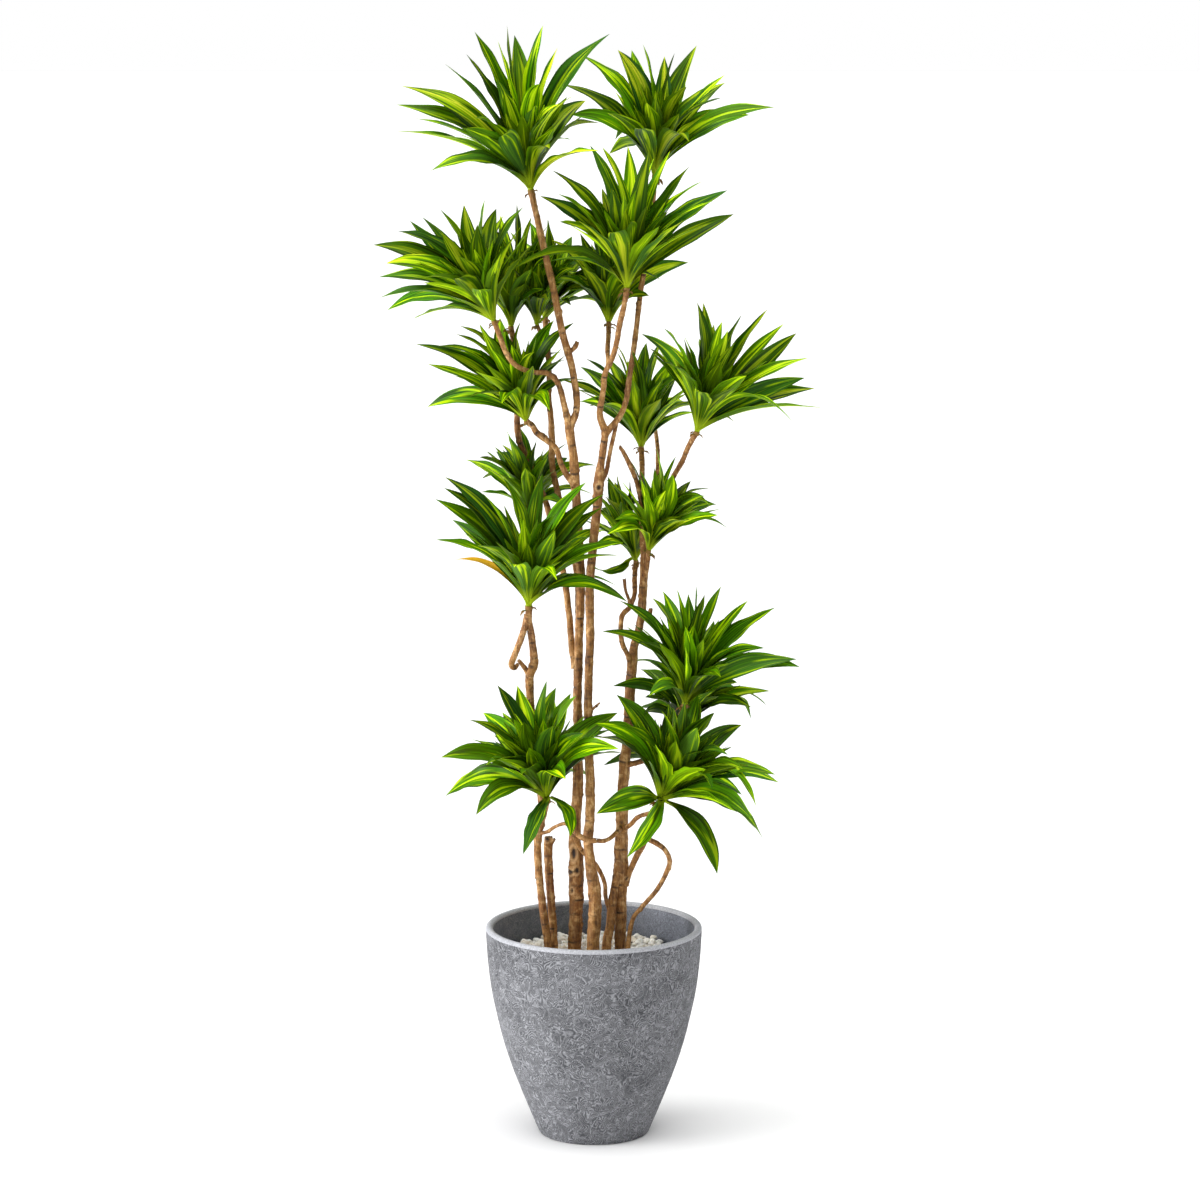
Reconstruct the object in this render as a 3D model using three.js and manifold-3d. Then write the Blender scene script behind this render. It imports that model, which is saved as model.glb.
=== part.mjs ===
// A tall potted dracaena: bare canes that fork and carry rosettes of arching leaves, in a bowl-shaped
// planter filled with soil under a layer of pebbles. Millimetres, +Z up, +X to the right of the
// front, -Y towards the front. The origin is the centre of the planter's flat underside.
import * as THREE from "three";
import { mergeVertices } from "three/addons/utils/BufferGeometryUtils.js";
import Module from "manifold-3d";

const wasm = await Module();
wasm.setup();

// ---- Driving dimensions ----
const GAP = 0.4; // clear distance between pieces that touch

const POT_HEIGHT = 345;
const POT_WALL = 12;
const POT_FLOOR = 14; // thickness under the soil
const POT_SEGMENTS = 32;
const LIP_RADIUS = POT_WALL / 2;
const INSIDE_HEIGHTS = [190, 90]; // where the inner wall has corners between soil and floor
// Outer wall as [radius, height], from the foot up to where the lip starts to turn over.
const POT_WALL_LINE = [
  [87, 0], [91, 3], [104, 34], [120, 74], [135, 114], [148, 155], [158, 196], [167, 240],
  [173, 290], [176, POT_HEIGHT - LIP_RADIUS],
];

const SOIL_TOP = 287;
const PEBBLE_BED = 4; // thickness of the bed the pebbles are fused to
const PEBBLE_COUNT = 76;
const PEBBLE_SIDES = 5;
const PEBBLE_BANDS = 4;
const PEBBLE_RADIUS = 15;
const PEBBLE_SIZES = [0.8, 1.15]; // smallest and largest, as shares of that radius
const PEBBLE_NARROWEST = 0.75; // breadth as a share of length
const PEBBLE_FLATNESS = 0.56;
const PEBBLE_TILT = 0.15; // radians either way
const PEBBLE_SINK = 1.6;
const PEBBLE_DRAWS = 90; // number of their group of draws

const CANE_STEP = 60; // longest piece of cane between two rings of corners
const THICK_CANE = 6; // a cane of this radius or more gets more sides
const THICK_CANE_SIDES = 6;
const THIN_CANE_SIDES = 5;

// The short stem inside a rosette. Its surface is a lattice of diamonds, ring over staggered ring,
// and a leaf grows from each taken diamond.
const CORE_SIDES = 6;
const CORE_RADIUS = 8;
const CORE_FOOT_RADIUS = 4.8;
const CORE_TAPER = 0.45; // share of its radius that the core loses up to its highest ring
const CORE_FOOT = 7; // height of the lowest ring over the end of the cane
const RING_RISE = 6;
const SPARE_DIAMONDS = 1.4; // diamonds for each leaf
const CORE_TIP = 16; // from the highest ring to the point
const BASE_SHRINK = 0.94; // keeps the shared corners out of the crossing test

const LEAF_LENGTH = 195;
const LEAF_WIDTH = 31;
const LEAF_THICKNESS = 1.7;
const LEAF_CLEARANCE = 0.3; // kept round each leaf
const WIDTH_SPREAD = [0.9, 1.08]; // narrowest and widest leaves, as shares of that width
const ARCH_UPRIGHT = 0.05; // rise of an upright leaf's arc, as a share of its length
const ARCH_LEANING = 0.14; // what it gains by the time the leaf lies level
const ARCH_DRAWN = 0.05;
const SWAY = 0.1; // how far an arc swings aside, as a share of its length
const FULL_ROLL = 48; // degrees that a leaf of the outline turns about its own length, at most
const LEAST_ROLL = 0.6; // as a share of that
const FILL_ROLL = 25;
const DEEPEST = 0.72; // how far an outline leaf leans to the front or back, as a share of its length
const DEPTH_TAKEN = 0.8; // share of the depth that its length would allow
const WIDEST_FILL = 84; // degrees from the rosette's axis to its lowest filling leaves
const NARROWEST_FILL = 12;
const FILL_SWEEP = 110; // degrees over which the filling leaves of the front spread, or of the back
const FILL_LENGTHS = [0.78, 0.95]; // as shares of the rosette's length
const EYE = new THREE.Vector3(10, -6132, 1851); // the leaf tips below are stated as seen from here

// Canes as [x, y, z, radius] from the foot up. Pieces of one group have grown together.
const CANES = {
  cane_left: {
    trunk: [[-75, 0, 202, 6.2], [-75, 0, 312, 6.2], [-80, 0, 349, 6.2], [-88, 0, 417, 6.2],
      [-91, -2, 469, 6.3], [-90, -4, 495, 6.5], [-84, -6, 528, 6.1], [-90, -10, 603, 5.7],
      [-99, -20, 687, 5.8], [-102, -40, 735, 6.4], [-102, -55, 767, 6.8], [-95, -62, 788, 6.8],
      [-98, -70, 826, 5.6], [-103, -78, 860, 5.2], [-103, -80, 883, 5.6]],
    lowBranch: [[-87, -5, 512, 5.7], [-80, -30, 538, 5.2], [-75, -60, 565, 5.2]],
    hangingStub: [[-104, -78, 868, 4.6], [-115, -80, 831, 5.2], [-127, -81, 801, 5.2],
      [-131, -79, 789, 5], [-127, -75, 782, 4], [-121, -69, 787, 3]],
    shortStub: [[-101, -55, 762, 4], [-110, -58, 779, 3.8], [-119, -66, 792, 3]],
    crossBranch: [[-88, -5, 498, 2.8], [-76, -14, 502, 2.8], [-61, -26, 514, 2.8],
      [-45, -34, 520, 3.2], [-34, -40, 512, 4], [-17, -42, 498, 4.4], [-3, -42, 494, 4.2],
      [4, -42, 494, 4.4]],
  },
  cane_left_cut: {
    trunk: [[-65, 14, 202, 6.5], [-65, 14, 309, 6.5], [-67, 14, 346, 6.5], [-71, 14, 398, 6.9],
      [-74, 16, 450, 7.1], [-74, 18, 486, 7.3]],
    twig: [[-73, 16, 470, 2.4], [-64, 12, 484, 2.2]],
  },
  cane_mid_left: {
    trunk: [[-31, 20, 202, 11.4], [-31, 20, 306, 11.4], [-29, 20, 356, 11], [-29, 20, 414, 12.2],
      [-29, 20, 451, 11.8], [-31, 20, 481, 9.8], [-29, 20, 523, 8.9], [-26, 20, 572, 8.5],
      [-26, 20, 649, 7.3], [-26, 20, 724, 7.3], [-24, 20, 811, 6.9], [-21, 16, 908, 6.8],
      [-25, 8, 992, 6.8], [-30, 0, 1079, 7.2], [-33, -6, 1120, 6.8], [-38, -10, 1160, 6.8],
      [-31, -12, 1175, 5.6], [-27, -12, 1192, 5.2], [-31, -14, 1237, 5.2], [-39, -16, 1274, 5.6],
      [-49, -18, 1309, 5.5], [-60, -20, 1363, 5.5], [-72, -20, 1417, 5.4], [-83, -20, 1466, 5.1],
      [-99, -20, 1537, 5.1]],
    archedBranch: [[-38, -10, 1160, 5.6], [-47, -18, 1195, 4.8], [-52, -26, 1219, 4.8],
      [-61, -34, 1239, 4.4], [-75, -42, 1250, 4], [-96, -52, 1252, 3.9], [-115, -58, 1259, 3.9],
      [-129, -60, 1270, 3.9], [-140, -60, 1288, 4.1], [-147, -60, 1307, 4.1],
      [-157, -60, 1334, 4.3]],
    backBranch: [[-30, 22, 765, 4.8], [-35, 30, 793, 5.3], [-40, 40, 849, 5.3],
      [-47, 48, 905, 4.9], [-61, 58, 969, 4.9], [-79, 68, 1033, 4.9], [-103, 76, 1089, 4.9],
      [-121, 80, 1129, 5.3], [-124, 80, 1194, 4.8], [-124, 78, 1256, 4.4], [-133, 70, 1314, 4.4]],
    backOffshoot: [[-58, 57, 958, 4], [-79, 74, 970, 3.8], [-95, 86, 984, 3.6],
      [-103, 90, 1003, 3.6]],
    rearBranch: [[-24, 20, 806, 4], [-26, 44, 856, 4], [-27, 56, 904, 4.5], [-39, 60, 969, 4.4],
      [-55, 60, 1034, 4.8], [-67, 60, 1089, 5.2], [-67, 60, 1123, 5.6], [-69, 62, 1164, 4.8],
      [-72, 66, 1195, 4.4], [-72, 76, 1238, 4.4], [-74, 90, 1274, 4.4], [-79, 120, 1323, 4.5]],
    rearFork: [[-73, 84, 1262, 3.4], [-82, 78, 1291, 3.2], [-91, 70, 1316, 3.2]],
    sideArm: [[-30, 0, 1066, 4.8], [-44, 2, 1083, 4.8], [-54, 4, 1104, 4.4], [-60, 6, 1123, 4.4],
      [-78, 8, 1139, 4.8], [-91, 9, 1149, 4.8], [-99, 10, 1161, 4.8], [-108, 10, 1168, 4]],
    knob: [[-41, -16, 1278, 3], [-29, -14, 1289, 4], [-26, -14, 1296, 3.4]],
  },
  cane_mid_right: {
    trunk: [[-1, -20, 202, 10.2], [-1, -20, 317, 10.1], [2, -20, 382, 10.9], [0, -20, 415, 10.5],
      [-6, -20, 454, 8.5], [-9, -20, 490, 8.1], [-6, -20, 531, 7.7], [-6, -20, 581, 7.7],
      [-8, -18, 654, 6.8], [-9, -16, 731, 6.8], [-6, -14, 817, 6.8], [-6, -12, 913, 6.8],
      [-1, -10, 970, 6.8], [5, -8, 1027, 7.2], [8, -8, 1069, 8.6], [12, -10, 1106, 5.6],
      [16, -12, 1132, 5.6], [18, -14, 1154, 6], [10, -20, 1176, 5.2], [10, -24, 1191, 5.2],
      [15, -34, 1220, 4.6], [18, -46, 1249, 4.3], [26, -54, 1267, 4.3], [35, -64, 1293, 4.3],
      [41, -76, 1330, 4.3], [48, -84, 1362, 4.3], [52, -90, 1388, 4.3]],
    backFork: [[24, -54, 1262, 3.5], [22, -40, 1283, 3.6], [23, -8, 1302, 3.8], [24, 30, 1323, 4]],
    rightFork: [[18, -14, 1150, 4.8], [29, -10, 1162, 4.8], [39, -6, 1173, 4.8], [50, 0, 1196, 4.4],
      [58, 8, 1243, 4.4], [66, 16, 1300, 4.4], [75, 26, 1376, 4.4], [90, 36, 1462, 4.4],
      [97, 40, 1557, 4.4]],
    thinFork: [[10, -8, 1069, 4], [20, 2, 1087, 3.6], [24, 6, 1107, 3.4], [29, 4, 1133, 3.4],
      [34, -4, 1155, 3.2], [37, -6, 1171, 3.2]],
    cutTwig: [[-8, -17, 700, 2.2], [4, -22, 711, 1.8], [9, -24, 716, 1.4]],
  },
  cane_right: {
    trunk: [[43, 12, 202, 9], [43, 12, 308, 9], [44, 12, 358, 9], [43, 12, 400, 10.6],
      [44, 11, 442, 12.2], [44, 10, 475, 11.4], [46, 10, 508, 10.1], [46, 10, 550, 9.3],
      [50, 10, 608, 8.9], [54, 10, 650, 8.1], [57, 10, 690, 8.5], [58, 10, 726, 8.5],
      [62, 10, 772, 8.1], [66, 8, 805, 6.8], [73, 4, 834, 6], [78, 2, 870, 7.2], [79, 0, 896, 6.8],
      [81, 0, 945, 6.4], [79, 0, 993, 6], [77, 6, 1030, 4.8], [77, 20, 1055, 4.4],
      [78, 60, 1083, 4.4], [77, 100, 1114, 4.5]],
    secondFoot: [[21, 0, 202, 7.3], [21, 0, 311, 7.3], [28, 0, 352, 7.3], [31, 2, 385, 7.3],
      [36, 6, 414, 7.3], [42, 10, 445, 7.3]],
    looseLoop: [[60, 9, 767, 4], [55, 0, 789, 4], [47, -6, 807, 4], [43, -10, 836, 4],
      [47, -8, 858, 4], [58, 0, 868, 4], [65, 10, 886, 3.6], [66, 30, 911, 4], [68, 50, 936, 4]],
    shortFork: [[80, 0, 905, 4], [85, -10, 935, 4], [88, -20, 964, 4]],
    rightFork: [[81, 0, 940, 4], [93, 10, 984, 4], [105, 10, 1024, 4], [116, 4, 1056, 4],
      [127, -4, 1079, 4], [141, -14, 1106, 4], [152, -22, 1133, 4.1], [164, -30, 1155, 4.4]],
    leftTwig: [[78, 4, 1028, 3.6], [72, 4, 1059, 4], [66, 0, 1079, 4], [58, 0, 1098, 4],
      [48, 8, 1117, 3.2], [42, 14, 1126, 2.4]],
    diagonal: [[27, 0, 362, 3.3], [19, -1, 392, 3.4], [18, 0, 412, 3.4], [5, 1, 442, 3.6],
      [-13, 0, 461, 3.6], [-24, -3, 476, 3.6], [-32, -5, 492, 3.4]],
    frontBranch: [[44, 2, 506, 4], [34, -22, 500, 3.6], [23, -38, 495, 3.4], [14, -42, 493, 3.4],
      [5.6, -42, 494, 3.4]],
    lowArm: [[50, 8, 410, 4.9], [65, 2, 449, 4.9], [80, -14, 482, 4.9], [91, -40, 511, 4.8],
      [100, -66, 541, 4.8], [106, -80, 566, 4.8]],
    upperArm: [[46, 4, 501, 4.1], [59, -14, 514, 3.6], [71, -30, 530, 3.6], [90, -52, 541, 3.6],
      [101, -70, 548, 3.2]],
    curvedRunner: [[56, -9, 202, 4.1], [56, -9, 313, 4.1], [64, -11, 358, 3.7],
      [78, -13, 377, 3.7], [102, -16, 406, 3.9], [118, -22, 438, 4], [123, -24, 456, 4],
      [115, -26, 475, 4.2], [100, -28, 487, 4.2], [86, -26, 493, 4]],
    rightArm: [[50, 8, 608, 4], [75, 0, 615, 4.4], [107, -18, 635, 4.4], [126, -36, 658, 4.4],
      [137, -46, 691, 4.8], [146, -50, 719, 5.2]],
    backArm: [[116, -28, 642, 3.6], [129, -8, 645, 3.8], [140, 26, 652, 4], [147, 50, 662, 4.1]],
    rearTwig: [[81, 2, 955, 3.6], [97, 50, 1019, 3.6], [104, 110, 1076, 3.7],
      [103, 150, 1121, 3.3], [98, 160, 1150, 3]],
    knob: [[76, 2, 848, 3.4], [89, -4, 858, 4], [92, -5, 866, 3.2]],
    hook: [[60, 3, 872, 2.6], [51, -5, 896, 2.4], [49, -7, 914, 3]],
  },
};

// Rosettes: the cane each stands on, how many leaves fill it towards the front and the back, and the
// tips that show in its outline as [right, up] from its foot, with a third number for the depth of a
// tip that comes forward. A rosette of younger, shorter leaves has a length of its own.
const ROSETTES = [
  { on: ["cane_mid_left", "trunk"], fill: 19,
    tips: [[-84, 237], [-35, 246], [-24, 232], [19, 246], [41, 213], [120, 234], [60, 176],
      [84, 134], [65, 141], [-97, 204], [-129, 189], [-196, 156], [-167, 154], [-204, 128],
      [-179, 108], [-205, 88], [-152, 28], [-49, 223], [7, 126, -100], [-84, 108, -120]] },
  { on: ["cane_mid_right", "rightFork"], fill: 18,
    tips: [[-116, 189], [-146, 143], [-59, 197], [-37, 197], [-19, 206], [15, 187], [31, 192],
      [66, 204], [112, 159], [112, 146], [191, 107], [150, 95], [-133, 95], [-13, 114, -110]] },
  { on: ["cane_mid_right", "trunk"], fill: 19,
    tips: [[-58, 222], [-39, 219], [-117, 183], [-136, 143], [-111, 148], [1, 221], [42, 202],
      [34, 213], [67, 213], [98, 190], [118, 166], [157, 152], [134, 135], [167, 115],
      [-105, 103], [6, 103, -110]] },
  { on: ["cane_mid_left", "archedBranch"], fill: 19,
    tips: [[-189, 119], [-182, 68], [-182, 35], [-168, 16], [-169, 90], [-151, 140], [-131, 157],
      [-112, 163], [-85, 176], [-46, 182], [-13, 191], [5, 176], [48, 179], [-56, 102, -110]] },
  { on: ["cane_mid_left", "backBranch"], fill: 13, length: 178,
    tips: [[10, 198], [33, 175], [60, 162], [-52, 167], [79, 122], [-17, 178]] },
  { on: ["cane_mid_left", "rearBranch"], fill: 14, length: 170,
    tips: [[5, 161], [44, 132], [65, 91], [-24, 155], [86, 45], [-40, 126]] },
  { on: ["cane_mid_left", "rearFork"], fill: 11, length: 155,
    tips: [[-9, 152], [31, 136], [61, 91], [-40, 143], [-59, 107]] },
  { on: ["cane_mid_right", "backFork"], fill: 13, length: 165,
    tips: [[-91, 132], [-86, 86], [-83, 69], [127, 96], [-30, 161], [49, 156], [86, 132]] },
  { on: ["cane_mid_left", "sideArm"], fill: 15, length: 180,
    tips: [[-176, 123], [-140, 120], [-157, 91], [-158, 22], [-113, 139], [-106, 152],
      [-74, 155], [45, 161], [77, 157], [59, 109], [-9, 158], [-41, 165]] },
  { on: ["cane_right", "trunk"], fill: 16, length: 180,
    tips: [[-92, 146], [-99, 132], [-131, 111], [-101, 75], [-39, 166], [8, 171], [32, 176],
      [69, 156], [79, 124], [76, 72], [-15, 159]] },
  { on: ["cane_right", "rightFork"], fill: 18,
    tips: [[-1, 206], [9, 205], [39, 175], [70, 186], [48, 161], [111, 195], [137, 172],
      [157, 157], [178, 118], [171, 86], [187, 69], [201, 38], [-54, 165], [-89, 156],
      [-40, 132], [85, 51]] },
  { on: ["cane_right", "looseLoop"], fill: 13, length: 150,
    tips: [[-31, 140], [-45, 137], [-52, 106], [-55, 86], [-10, 132], [-39, 51]] },
  { on: ["cane_right", "shortFork"], fill: 13, length: 165,
    tips: [[11, 164], [43, 151], [38, 121], [67, 111], [89, 87], [108, 73], [110, 56],
      [-15, 129], [65, 48]] },
  { on: ["cane_mid_left", "backOffshoot"], fill: 14, length: 165,
    tips: [[-35, 132], [-12, 125], [11, 127], [-56, 106], [-83, 97], [-106, 93], [28, 97],
      [61, 96], [41, 76]] },
  { on: ["cane_left", "trunk"], fill: 19,
    tips: [[-132, 206], [-134, 189], [-148, 171], [-121, 138], [-147, 106], [-117, 74], [92, 198],
      [120, 179], [117, 158], [114, 125], [151, 102], [140, 32], [157, 6], [-39, 204],
      [-74, 182], [23, 212], [45, 147, -100]] },
  { on: ["cane_right", "rightArm"], fill: 18,
    tips: [[-133, 118], [-106, 168], [-53, 172], [-36, 183], [-13, 186], [17, 196], [31, 178],
      [57, 191], [100, 168], [144, 157], [127, 91], [179, 73], [184, 60], [57, 44, -120],
      [-58, 13, -110]] },
  { on: ["cane_right", "backArm"], fill: 13, length: 165,
    tips: [[86, 74], [86, 58], [109, 33], [109, 13], [-117, 68], [-72, 96], [140, 60],
      [-88, 23]] },
  { on: ["cane_left", "lowBranch"], fill: 18,
    tips: [[-170, 69], [-164, 5], [-114, -25], [-128, 20], [-126, 131], [-102, 142], [-79, 187],
      [-47, 186], [0, 194], [15, 183], [48, 170], [114, 142], [115, 83], [67, 38],
      [-39, -90, -90], [37, -61, -90]] },
  { on: ["cane_right", "lowArm"], fill: 18,
    tips: [[-102, -20, -100], [-53, -92, -100], [92, -119, -60], [167, -64], [150, -31],
      [190, 31], [184, 44], [131, 11], [132, 54], [130, 125], [86, 145], [54, 140], [0, 150],
      [-70, 174], [-104, 127], [-91, 59]] },
];

const STONE = 0x8d8f92;
const EARTH = 0x3a2c20;
const PEBBLE = 0xd9d3c8;
const BARK = 0x9a7449;
const LEAF = 0x4f8a1e;

// ---- Helpers ----
const v3 = (p) => new THREE.Vector3(p[0], p[1], p[2]);
const radians = THREE.MathUtils.degToRad;

// A fixed draw between 0 and 1 for draw number k of item i in group g.
function draw(g, i, k) {
  let a = (g * 7919 + i * 104729 + k * 1299709) | 0;
  a = Math.imul(a ^ (a >>> 15), 0x2c1b3c6d);
  a = Math.imul(a ^ (a >>> 12), 0x297a2d39);
  return ((a ^ (a >>> 15)) >>> 0) / 4294967296;
}

const between = ([low, high], share) => low + (high - low) * share;

function solidOf(geometry) {
  geometry.deleteAttribute("normal");
  geometry.deleteAttribute("uv");
  const merged = mergeVertices(geometry, 1e-4);
  return new wasm.Manifold(new wasm.Mesh({
    numProp: 3,
    vertProperties: merged.attributes.position.array,
    triVerts: new Uint32Array(merged.index.array),
  }));
}

function geometryFrom(points, faces) {
  const g = new THREE.BufferGeometry();
  g.setAttribute("position", new THREE.Float32BufferAttribute(points.flatMap((p) => p.toArray()), 3));
  return g.setIndex(faces.flat());
}

function meshOf(name, solid, colour) {
  const m = solid.getMesh();
  const at = new Float32Array(m.numVert * 3);
  for (let i = 0; i < m.numVert; i++)
    at.set(m.vertProperties.subarray(i * m.numProp, i * m.numProp + 3), i * 3);
  const g = new THREE.BufferGeometry();
  g.setAttribute("position", new THREE.BufferAttribute(at, 3));
  g.setIndex(new THREE.BufferAttribute(new Uint32Array(m.triVerts), 1));
  g.computeVertexNormals();
  const mesh = new THREE.Mesh(g, new THREE.MeshStandardMaterial({ color: colour, roughness: 0.6 }));
  mesh.name = name;
  return mesh;
}

// A body turned round the vertical axis from a line of [radius, height] that starts and ends on it.
const turned = (line, segments = POT_SEGMENTS) =>
  solidOf(new THREE.LatheGeometry(line.map(([r, z]) => new THREE.Vector2(r, z)), segments)
    .rotateX(Math.PI / 2));

// Rings of corners round a line of [centre, radius] stations, square to the line's run there.
function ringsAlong(stations, sides) {
  let across = null;
  return stations.map(({ at, radius }, i) => {
    const before = stations[Math.max(i - 1, 0)].at;
    const after = stations[Math.min(i + 1, stations.length - 1)].at;
    const way = after.clone().sub(before).normalize();
    across = across || new THREE.Vector3(1, 0.31, 0.17);
    across = across.clone().addScaledVector(way, -across.dot(way)).normalize();
    const other = way.clone().cross(across);
    return Array.from({ length: sides }, (_, k) => {
      const turn = (k / sides) * 2 * Math.PI;
      return at.clone().addScaledVector(across, radius * Math.cos(turn))
        .addScaledVector(other, radius * Math.sin(turn));
    });
  });
}

// Faces that join two rings of corners, numbered from a and from b.
const wallFaces = (a, b, sides) =>
  Array.from({ length: sides }, (_, k) => k).flatMap((k) => {
    const next = (k + 1) % sides;
    return [[a + k, a + next, b + next], [a + k, b + next, b + k]];
  });

function closedTube(rings) {
  const sides = rings[0].length;
  const points = rings.flat();
  const faces = rings.slice(1).flatMap((_, i) => wallFaces(i * sides, (i + 1) * sides, sides));
  const last = points.length - sides;
  for (let k = 1; k < sides - 1; k++) faces.push([0, k + 1, k], [last, last + k, last + k + 1]);
  return { points, faces };
}

// Stations along a cane: a smooth line through its points, with no step longer than CANE_STEP.
function caneStations(points) {
  const line = new THREE.CatmullRomCurve3(points.map(v3), false, "centripetal");
  const spans = points.length - 1;
  const out = [];
  for (let i = 0; i < spans; i++) {
    const steps = Math.ceil(v3(points[i]).distanceTo(v3(points[i + 1])) / CANE_STEP);
    for (let s = 0; s < steps; s++) {
      const share = s / steps;
      out.push({
        at: line.getPoint((i + share) / spans),
        radius: THREE.MathUtils.lerp(points[i][3], points[i + 1][3], share),
      });
    }
  }
  out.push({ at: v3(points[spans]), radius: points[spans][3] });
  return out;
}

// ---- Crossing test: a patch is a few faces with their edges and the box round them ----
function patchOf(points, faces, owner) {
  const edges = new Map();
  for (const f of faces)
    f.forEach((p, i) => {
      const q = f[(i + 1) % 3];
      edges.set(Math.min(p, q) + "_" + Math.max(p, q), [points[p], points[q]]);
    });
  const corners = faces.map((f) => f.map((i) => points[i]));
  return { owner, edges: [...edges.values()], corners,
    box: new THREE.Box3().setFromPoints(corners.flat()) };
}

const ray = new THREE.Ray();
const spot = new THREE.Vector3();

function pierces(one, other) {
  return one.edges.some(([p, q]) => {
    ray.origin.copy(p);
    ray.direction.copy(q).sub(p);
    const length = ray.direction.length();
    ray.direction.divideScalar(length);
    return other.corners.some(([a, b, c]) =>
      ray.intersectTriangle(a, b, c, false, spot) && spot.distanceTo(p) <= length);
  });
}

const crosses = (one, other) =>
  one.box.intersectsBox(other.box) && (pierces(one, other) || pierces(other, one));

// ---- Planter, soil and pebbles ----
const outerWall = POT_WALL_LINE.slice(1);

function wallRadius(height) {
  const above = outerWall.findIndex(([, z]) => z >= height);
  const [[r0, z0], [r1, z1]] = [outerWall[above - 1], outerWall[above]];
  return THREE.MathUtils.mapLinear(height, z0, z1, r0, r1);
}

const insideRadius = (height) => wallRadius(height) - POT_WALL;
const lipTop = POT_HEIGHT - LIP_RADIUS;
const lipCentre = wallRadius(lipTop) - LIP_RADIUS;
const lip = [45, 90, 135].map((d) => [
  lipCentre + LIP_RADIUS * Math.cos(radians(d)), lipTop + LIP_RADIUS * Math.sin(radians(d)),
]);
const insideWall = [lipTop, SOIL_TOP, ...INSIDE_HEIGHTS, POT_FLOOR]
  .map((z) => [insideRadius(z), z]);

const pot = turned([[0, 0], POT_WALL_LINE[0], ...outerWall, ...lip, ...insideWall, [0, POT_FLOOR]]);

const below = insideWall.filter(([, z]) => z <= SOIL_TOP).map(([r, z]) => [r - GAP, z]).reverse();
below[0][1] = POT_FLOOR + GAP;
const soilBody = turned([[0, POT_FLOOR + GAP], ...below, [0, SOIL_TOP]]);

// What the canes leave free in soil and pebbles.
const HOLE_SIDES = 7;
const HOLE_GAP = 1.2; // a cane bends a little on its way through
const feet = Object.values(CANES).flatMap((group) =>
  Object.values(group).filter(([foot]) => foot[2] < SOIL_TOP).map(([foot]) => foot));
const holes = feet.map(([x, y, z, r]) => {
  const radius = (r + HOLE_GAP) / Math.cos(Math.PI / HOLE_SIDES);
  const station = (height) => ({ at: new THREE.Vector3(x, y, height), radius });
  const { points, faces } = closedTube(ringsAlong([station(z - GAP), station(POT_HEIGHT)],
    HOLE_SIDES));
  return solidOf(geometryFrom(points, faces));
});
const withHoles = (body) => holes.reduce((left, hole) => left.subtract(hole), body);

const bedFoot = SOIL_TOP + GAP;
const bedTop = bedFoot + PEBBLE_BED;
const bedRadius = insideRadius(SOIL_TOP) - GAP;
const goldenTurn = Math.PI * (3 - Math.sqrt(5));
const pebbleBed = turned([[0, bedFoot], [bedRadius, bedFoot], [bedRadius, bedTop], [0, bedTop]]);
let pebbles = pebbleBed;
for (let i = 0; i < PEBBLE_COUNT; i++) {
  const size = PEBBLE_RADIUS * between(PEBBLE_SIZES, draw(PEBBLE_DRAWS, i, 0));
  const out = (bedRadius - PEBBLE_SIZES[0] * PEBBLE_RADIUS) * Math.sqrt((i + 0.5) / PEBBLE_COUNT);
  const stone = new THREE.SphereGeometry(size, PEBBLE_SIDES, PEBBLE_BANDS).rotateX(Math.PI / 2)
    .scale(1, between([PEBBLE_NARROWEST, 1], draw(PEBBLE_DRAWS, i, 1)), PEBBLE_FLATNESS)
    .rotateX(between([-PEBBLE_TILT, PEBBLE_TILT], draw(PEBBLE_DRAWS, i, 2)))
    .rotateZ(2 * Math.PI * draw(PEBBLE_DRAWS, i, 3))
    .translate(out * Math.cos(i * goldenTurn), out * Math.sin(i * goldenTurn),
      bedTop - PEBBLE_SINK);
  pebbles = pebbles.add(solidOf(stone));
}
const heapTop = bedTop + PEBBLE_RADIUS;
const pebbleSpace = turned([[0, bedFoot], [bedRadius, bedFoot], [insideRadius(heapTop) - GAP, heapTop],
  [0, heapTop]]);
pebbles = pebbles.intersect(pebbleSpace);

// ---- Canes ----
const obstacles = [];
const ends = {};
const caneSolids = Object.entries(CANES).map(([name, branches]) => {
  const pieces = Object.entries(branches).map(([branch, points]) => {
    const sides = points[0][3] >= THICK_CANE ? THICK_CANE_SIDES : THIN_CANE_SIDES;
    const stations = caneStations(points);
    const rings = ringsAlong(stations, sides);
    rings.slice(1).forEach((ring, i) =>
      obstacles.push(patchOf([...rings[i], ...ring], wallFaces(0, sides, sides))));
    const [before, last] = stations.slice(-2);
    ends[name + branch] = { at: last.at, way: last.at.clone().sub(before.at).normalize() };
    const { points: corners, faces } = closedTube(rings);
    return solidOf(geometryFrom(corners, faces));
  });
  return [name, pieces.reduce((all, piece) => all.add(piece))];
});

// ---- Rosettes ----
// Steps aside for a leaf that would cross something.
const PULLS = [0, 1, -1, 2, -2, 3, -3, 4, -4, 5, -5, 6, -6, 7, -7, 8, -8];
const PULL_STEP = 20; // mm along the line of sight, for the leaves of the outline
const TURN_STEP = radians(8); // round the axis, for the filling leaves
const NEAREST = 8; // free diamonds tried for each step
const LEAN_AT_FOOT = radians(85); // from the axis, for a leaf that grows from the lowest diamonds
const FACING_WORTH = 14; // mm up or down the core that cost a leaf as much as a radian round it
const GOLDEN_SHARE = (Math.sqrt(5) - 1) / 2;
const FILL_DRAWS = 100; // the filling leaves take their draws from this number on
const INWARD = 0.15; // shrinks the core for the crossing test of its own leaves
// Shares of the full roll, arch and width, tried by turns with each diamond.
const POSTURES = [[1, 1, 1], [0.5, 1.7, 1], [0.8, 0.5, 0.9], [0.1, 1.2, 0.75], [0, 0.8, 0.6]];

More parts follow.
